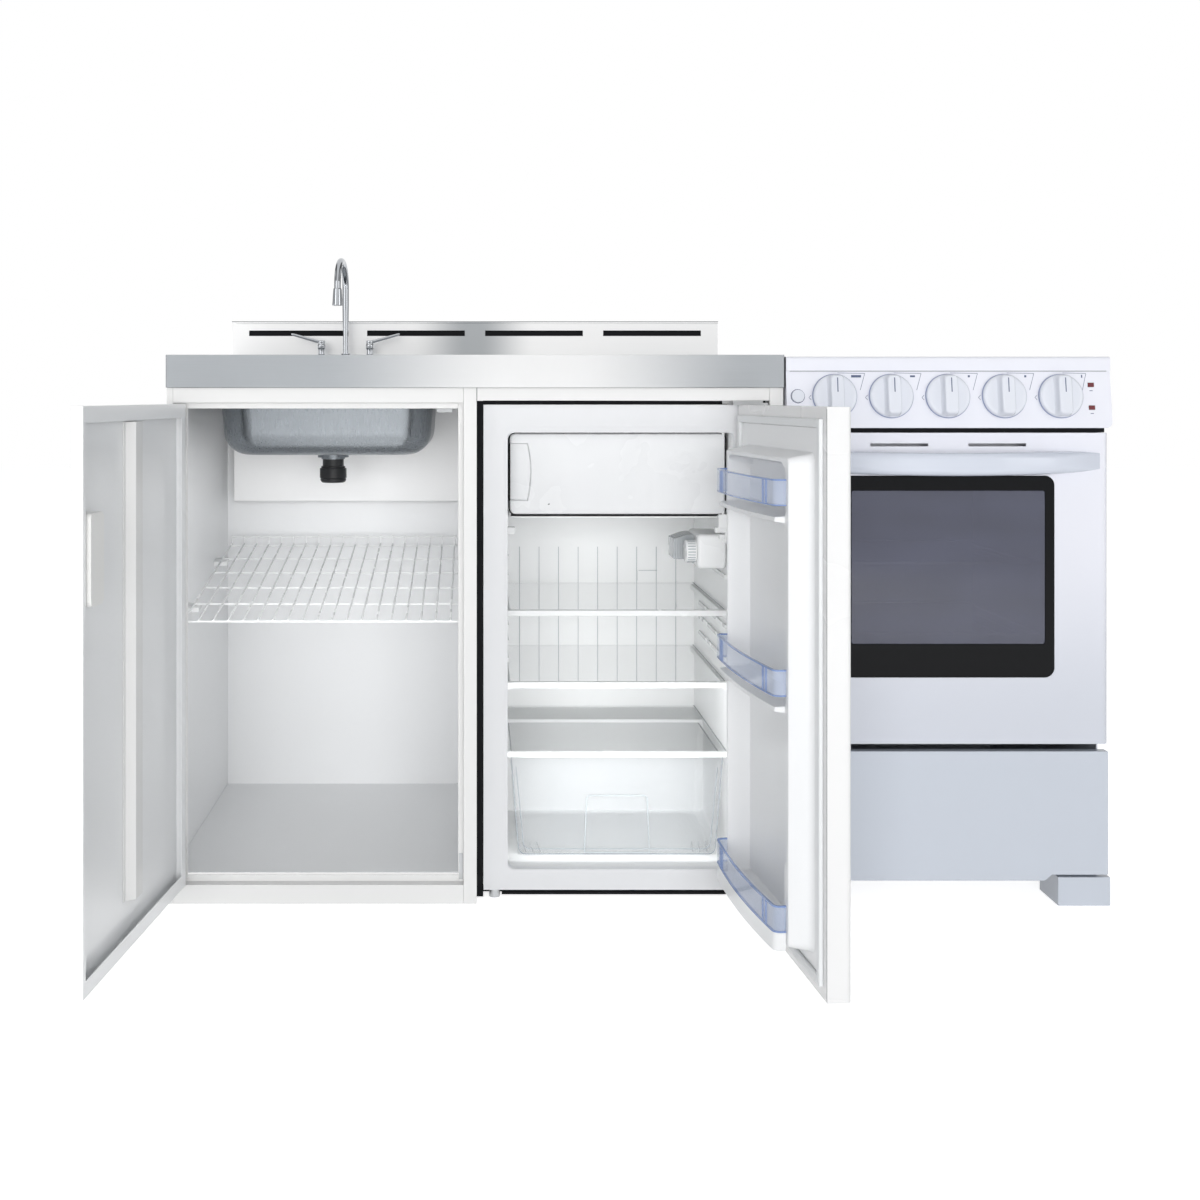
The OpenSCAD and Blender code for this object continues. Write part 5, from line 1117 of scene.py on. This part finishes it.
def door_rails():
    """Bowed clear rails with darker edge lines, and the lowest rack's own front wall."""
    x0, x1 = -183 * MM, 137 * MM
    mid, half = (x0 + x1) / 2, (x1 - x0) / 2
    wing_y, face_y = -571.8 * MM, -547 * MM
    wall, height, bow, corner = 2.6 * MM, 36 * MM, 7 * MM, 10 * MM
    corner_steps, bow_steps = 6, 24
    lip, over, bar_w = 1.8 * MM, 0.4 * MM, 0.9 * MM
    bars = (x0 + 34 * MM, x0 + 46 * MM, x1 - 46 * MM, x1 - 34 * MM)

    def bowed(x):
        return face_y - bow + bow * (1 - ((x - mid) / (half - corner)) ** 2)

    def bend(x, start, inset):
        """A corner round x, turned clockwise from a number of quarter turns."""
        size = corner - inset
        turns = [math.pi / 2 * (start - k / corner_steps) for k in range(corner_steps + 1)]
        return [(x + size * math.cos(a), face_y - bow - corner + size * math.sin(a)) for a in turns]

    def line(inset):
        across = [x0 + corner + 2 * (half - corner) * k / bow_steps for k in range(1, bow_steps)]
        points = [(x0 + inset, wing_y)] + bend(x0 + corner, 2, inset)
        points += [(x, bowed(x) - inset) for x in across]
        return points + bend(x1 - corner, 1, inset) + [(x1 - inset, wing_y)]

    def strip(bm, low, high, inset=0.0, thick=wall):
        rings = []
        for (ax, ay), (bx, by) in zip(line(inset), line(inset + thick)):
            rings.append([(ax, ay, low), (bx, by, low), (bx, by, high), (ax, ay, high)])
        loft(bm, rings)

    def rail(number, foot):
        z0, z1 = foot, foot + height

        def panel(bm):
            strip(bm, z0, z1)

        def edges(bm):
            strip(bm, z0 - over, z0 - over + lip, -over, wall + 2 * over)
            strip(bm, z1 - lip, z1 + over, -over, wall + 2 * over)
            for x in bars:
                block(bm, (x, x + bar_w), (bowed(x) - wall - over, bowed(x) + 0.2 * MM), (z0, z1))

        stands_for = "door_rails" if number == 1 else None
        door_piece("rail_panel_%d" % number, panel, "rail", stands_for)
        door_piece("rail_edges_%d" % number, edges, "rail_edge")

    def low_front(bm):
        top = (RACK_FOOT[2] - 0.8) * MM
        strip(bm, top - 25 * MM, top, 0.2 * MM, 3 * MM)

    for number, foot in enumerate(RACK_FOOT, 1):
        rail(number, foot * MM)
    door_piece("low_rack_front", low_front, "door_liner", bevel=0.8 * MM)


# ---------- range ----------

KNOB_Z = panel_low.z + 51 * MM
SIGNS = ((16, 4), (8, 3), (3.4, 3.4), (3.4, 3.4), (2, 5))


def on_panel(make, node):
    """A shape drawn about +Z, carried to a node's place across the leaning panel at the knobs' height."""
    low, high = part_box(node)
    proud, lean, height = 10 * MM, 12 * MM, 92 * MM
    y = front_y - proud + lean * (KNOB_Z - panel_low.z) / height
    tilt = Matrix.Rotation(math.pi / 2 - math.atan(lean / height), 4, "X")
    return moved(make, Matrix.Translation(((low.x + high.x) / 2, y, KNOB_Z)) @ tilt)


def knob_body(bm):
    """A flat disc with a thick grip across it, and a stem behind."""
    lathe(bm, [(34.6, 2.2), (35, 3.2), (34.8, 6.2), (33.8, 8.2), (31.6, 9.4), (27, 9.9), (0.3, 10.2)], 72)
    grip = []
    for half_w, half_l, z, radius in (
        (15.0, 33.2, 8.8, 7), (12.8, 33.4, 10.6, 6), (11.6, 33.0, 14, 6), (11.0, 32.2, 18, 6),
        (10.7, 31.2, 22, 6), (10.3, 30.2, 24.0, 6), (9.2, 28.8, 24.9, 5.5), (7.4, 27.0, 25.1, 4),
    ):
        ring = rounded_ring(half_w * MM, half_l * MM, radius * MM, 5)
        grip.append([(a, b, z * MM) for a, b in ring])
    loft(bm, grip)
    lathe(bm, [(4, -14), (4, 2.4)], 24)


# The knob's base ring; its darker colour is partly the ring's edge and partly painted shade under the disc.
def knob_skirt(bm):
    lathe(bm, [(0.3, 0.5), (35.4, 0.5), (36, 0.9), (36, 2.4), (35.2, 3.0), (0.3, 3.0)], 72)


def knob_pointer(bm):
    block(bm, (-0.8 * MM, 0.8 * MM), (4 * MM, 27 * MM), (24.6 * MM, 25.25 * MM))


def knobs():
    for number in range(1, len(SIGNS) + 1):
        node = "knob_%d" % number
        piece(node + "_grip", on_panel(knob_body, node), "knob", node, node)
        piece(node + "_skirt", on_panel(knob_skirt, node), "knob_skirt", node)
        piece(node + "_pointer", on_panel(knob_pointer, node), "mark", node)


def ribbon(bm, points, half_width=0.35):
    """A printed line along points on a flat face, as thin flat bars; millimetres."""
    for (ax, ay), (bx, by) in zip(points, points[1:]):
        length = math.hypot(bx - ax, by - ay)
        nx, ny = -(by - ay) / length * half_width, (bx - ax) / length * half_width
        ring = [(ax + nx, ay + ny), (ax - nx, ay - ny), (bx - nx, by - ny), (bx + nx, by + ny)]
        loft(bm, [[(x * MM, y * MM, z * MM) for x, y in ring] for z in (0.02, 0.1)])


def panel_marks():
    """Printed brackets and plain square signs beside the knobs, and dashes below the lamps."""
    bracket = ((6, 38), (50, 37), (42, 10))
    notch = ((-37.4, 2), (-41, -2), (-37.6, -6))
    sign_x, sign_y = 36, 32.5
    dash, dash_levels = 2.5, (-28, 9)
    narrow = 0.86
    ring = circle(11, 40)

    def beside(number, sign_w, sign_h):
        """The marks round one knob; the last one's bracket is narrower."""
        squeeze = narrow if number == len(SIGNS) else 1.0

        def make(bm):
            ribbon(bm, [(x * squeeze, y) for x, y in bracket])
            ribbon(bm, notch)
            ribbon(bm, [(sign_x - sign_w / 2, sign_y), (sign_x + sign_w / 2, sign_y)], sign_h / 2)

        return on_panel(make, "knob_%d" % number)

    def dashes(bm):
        for up in dash_levels:
            ribbon(bm, [(-dash, up), (dash, up)], 0.6)

    def button_ring(bm):
        ribbon(bm, ring + ring[:1], 0.45)

    def make(bm):
        for number, (sign_w, sign_h) in enumerate(SIGNS, 1):
            beside(number, sign_w, sign_h)(bm)
        on_panel(dashes, "indicator_lights")(bm)
        on_panel(button_ring, "light_button")(bm)

    piece("panel_marks", make, "mark")


def range_gaps():
    """Painted shadow: dark plates in the joints between the control panel, the oven door and the drawer,
    and a dark line under the cooktop's rim.
    """
    x0, x1 = panel_low.x + 6 * MM, panel_high.x - 6 * MM
    clear, corner = 0.6 * MM, 1 * MM

    def gap_shadows(bm):
        box = (x0, x1, door_high.z + clear, panel_low.z - 0.2 * MM)
        slab(bm, box, door_low.y + 8 * MM, door_high.y - 2 * MM, corner)
        box = (x0, x1, drawer_top + 4 * MM, door_low.z - clear)
        slab(bm, box, door_high.y - 8 * MM, door_high.y - 1 * MM, corner)

    def rim_shadow_line(bm):
        y, z = rim_low.y + 1.2 * MM, rim_low.z
        block(bm, (x0, x1), (y, y + 6 * MM), (z - 0.9 * MM, z + 0.1 * MM))

    piece("range_gaps", gap_shadows, "black")
    piece("rim_shadow_line", rim_shadow_line, "seam")


def oven_handle():
    """A bowed grip that thins towards its ends and runs into the door there."""
    low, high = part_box("oven_handle")
    half_w, half_h, mid_z = (high.x - low.x) / 2, (high.z - low.z) / 2, (high.z + low.z) / 2
    face = door_low.y
    bow = face - low.y
    grip_depth, least, sweep = 22 * MM, 3 * MM, 3.5 * MM
    steps, meets, inner_end = 56, 0.74, 0.9
    taper, roundness = 0.3, 0.86

    def make(bm):
        rings = []
        for k in range(steps + 1):
            s = -1 + 2 * k / steps
            outer = face - bow * (1 - s * s) - 0.5 * MM
            inner = face - max(bow * (1 - (s / inner_end) ** 2) - grip_depth, 0.0)
            if abs(s) > meets:
                inner = min(inner, face + 0.2 * MM)
            inner = max(inner, outer + least)
            up = half_h * (1 - taper * s ** 6)
            z = mid_z + sweep * s * s
            mid_y, depth = (outer + inner) / 2, (inner - outer) / 2
            points = rounded_ring(depth, up, min(depth, up) * roundness, 7)
            rings.append([(range_mid + s * half_w, mid_y + a, z + b) for a, b in points])
        loft(bm, rings)

    piece("handle_grip", make, "handle", "oven_door", "oven_handle")


def oven_window():
    """Outer pane with a black printed border, and the clear pane behind it."""
    low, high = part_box("oven_window")
    border_side, border_top, border_low = 15 * MM, 24 * MM, 54 * MM
    corner, inner_corner = 15 * MM, 4 * MM
    whole = (low.x, high.x, low.z, high.z)
    clear = (low.x + border_side, high.x - border_side, low.z + border_low, high.z - border_top)
    rim = 0.8 * MM

    def border(bm):
        y0, y1 = low.y + 0.5 * MM, low.y + 3.4 * MM
        outside = ((0, y1), (0, y0 + rim))
        rings = [upright_ring(whole, -rim, corner, y0)]
        rings += [upright_ring(clear, 0, inner_corner, y) for y in (y0, y1)]
        hoop(bm, rings + [upright_ring(whole, grow, corner, y) for grow, y in outside])

    def outer_pane(bm):
        slab(bm, clear, low.y + 1.0 * MM, low.y + 3.0 * MM, inner_corner)

    def inner_pane(bm):
        slab(bm, whole, high.y - 3.0 * MM, high.y - 0.5 * MM, corner)

    piece("window_border", border, "frit", "oven_door", "oven_window")
    piece("window_outer_pane", outer_pane, "pane", "oven_door")
    piece("window_inner_pane", inner_pane, "inner_pane", "oven_door")


# ---------- stage, light and camera ----------


def shown_white(tree, surface, strength):
    """Adds light of its own to a surface, for the camera and for mirrors and glass that show it."""
    path = add_node(tree, "LightPath").outputs
    shown = path["Is Camera Ray"]
    for kind in ("Is Glossy Ray", "Is Transmission Ray"):
        shown = add_node(tree, "Math", {0: shown, 1: path[kind]}, operation="MAXIMUM").outputs[0]
    amount = add_node(tree, "Math", {0: shown, 1: strength}, operation="MULTIPLY")
    glow = add_node(tree, "Emission", {"Strength": amount.outputs[0]})
    both = add_node(tree, "AddShader", {0: surface.outputs[0], 1: glow.outputs[0]})
    tree.links.new(both.outputs[0], tree.nodes["Material Output"].inputs["Surface"])


def stage():
    """A pale matte floor that keeps the object's shadow."""
    size, drop = 14.0, 0.6 * MM
    mesh = bpy.data.meshes.new("floor")
    corners = [(-size, -size, 0), (size, -size, 0), (size, size, 0), (-size, size, 0)]
    mesh.from_pydata(corners, [], [(0, 1, 2, 3)])
    paint = Paint("floor_white", "F2F2F2", 1.0, Specular_IOR_Level=0.0)
    shown_white(paint.tree, paint.surface, 0.78)
    mesh.materials.append(paint.material)
    floor = bpy.data.objects.new("floor", mesh)
    bpy.context.scene.collection.objects.link(floor)
    floor.location.z = -drop


def world():
    """Even pale light; mirrors also see a dark band at each side of the studio."""
    made = bpy.data.worlds.new("studio")
    bpy.context.scene.world = made
    made.use_nodes = True
    tree = made.node_tree
    plain = tree.nodes["Background"]
    plain.inputs["Color"].default_value = colour("F4F6F8")
    plain.inputs["Strength"].default_value = 0.27
    white = add_node(tree, "Background", {"Color": (1, 1, 1, 1)})
    parts = add_node(tree, "SeparateXYZ", {0: add_node(tree, "TexCoord").outputs["Generated"]})
    aside = add_node(tree, "Math", {0: parts.outputs["X"]}, operation="ABSOLUTE")
    bands = add_node(tree, "ValToRGB", {0: aside.outputs[0]})
    bands.color_ramp.elements[0].color = (1, 1, 1, 1)
    for position, grey in ((0.46, 1.0), (0.56, 0.2), (0.74, 0.1), (0.82, 0.8), (0.88, 0.7), (0.94, 0.12)):
        bands.color_ramp.elements.new(position).color = (grey, grey, grey, 1)
    mirrored = add_node(tree, "Background", {"Color": bands.outputs["Color"]})
    path = add_node(tree, "LightPath").outputs
    inputs = {0: path["Is Camera Ray"], 1: path["Is Transmission Ray"]}
    seen = add_node(tree, "Math", inputs, operation="MAXIMUM")
    inputs = {"Fac": path["Is Glossy Ray"], 1: plain.outputs[0], 2: mirrored.outputs[0]}
    lit = add_node(tree, "MixShader", inputs)
    inputs = {"Fac": seen.outputs[0], 1: lit.outputs[0], 2: white.outputs[0]}
    last = add_node(tree, "MixShader", inputs)
    tree.links.new(last.outputs[0], tree.nodes["World Output"].inputs["Surface"])


# Name, place, target, width, height, watts, and whether mirrors show it; the last two fill the bays' mouths
LAMPS = (
    ("front", (-0.3, -5.4, 0.88), (-0.15, -0.4, 0.6), 3.0, 1.6, 142, False),
    ("right", (3.4, -3.4, 1.5), (-0.3, -0.5, 0.45), 1.6, 2.0, 24, True),
    ("left", (-3.4, -3.4, 1.5), (0.3, -0.5, 0.45), 1.6, 2.0, 24, True),
    ("top", (-0.2, -0.9, 3.4), (-0.2, -0.3, 0.8), 3.0, 1.6, 13, False),
    ("bay_fill", (-0.51, -0.60, 0.60), (-0.51, 0, 0.60), 0.44, 0.42, 0.42, False),
    ("cool_fill", (-0.023, -0.565, 0.2), (-0.023, 0, 0.2), 0.34, 0.28, 0.55, False),
)


def soft_light(name, place, target, width, height, watts, mirrored):
    lamp = bpy.data.lights.new(name, "AREA")
    lamp.shape = "RECTANGLE"
    lamp.size = width
    lamp.size_y = height
    lamp.energy = watts
    obj = bpy.data.objects.new(name, lamp)
    bpy.context.scene.collection.objects.link(obj)
    obj.location = place
    obj.rotation_euler = (Vector(target) - Vector(place)).to_track_quat("-Z", "Y").to_euler()
    obj.visible_glossy = mirrored
    obj.visible_camera = False


def camera():
    """The photograph's place and framing; image sizes are in pixels."""
    image, focal_px = 1200, 1500
    principal_x, horizon_y = 475, 395
    eye_x, eye_z, distance = -0.263, 0.824, 2.420
    sensor = 36.0
    data = bpy.data.cameras.new("camera")
    data.sensor_width = sensor
    data.lens = sensor * focal_px / image
    data.shift_x = (image / 2 - principal_x) / image
    data.shift_y = -(image / 2 - horizon_y) / image
    data.clip_end = 60
    obj = bpy.data.objects.new("camera", data)
    obj.location = (eye_x, front_y - distance, eye_z)
    obj.rotation_euler = (math.radians(90), 0, 0)
    bpy.context.scene.collection.objects.link(obj)
    bpy.context.scene.camera = obj


# ---------- everything ----------

for kept_node, (kept_material, kept_bevel) in KEPT.items():
    dress(kept_node, kept_material, kept_bevel)
slot_shadow_plates()
unit_seam_shadows()
bay_gap_shadows()
sink_bowl()
drain_pipe()
faucet_spout()
lever(-1, "lever_left", "left_lever")
lever(1, "lever_right", "right_lever")
opening_rim()
back_lines()
freezer_door()
wall_fittings()
thermostat()
shelf_trim("fridge_shelf_upper", "upper_shelf")
shelf_trim("fridge_shelf_lower", "lower_shelf")
shelf_trim("crisper_cover", UNIT)
crisper_lines()
door_liner()
door_rails()
knobs()
panel_marks()
range_gaps()
oven_handle()
oven_window()
stage()
world()
for lamp_values in LAMPS:
    soft_light(*lamp_values)
camera()
bpy.context.scene.view_settings.view_transform = "Standard"
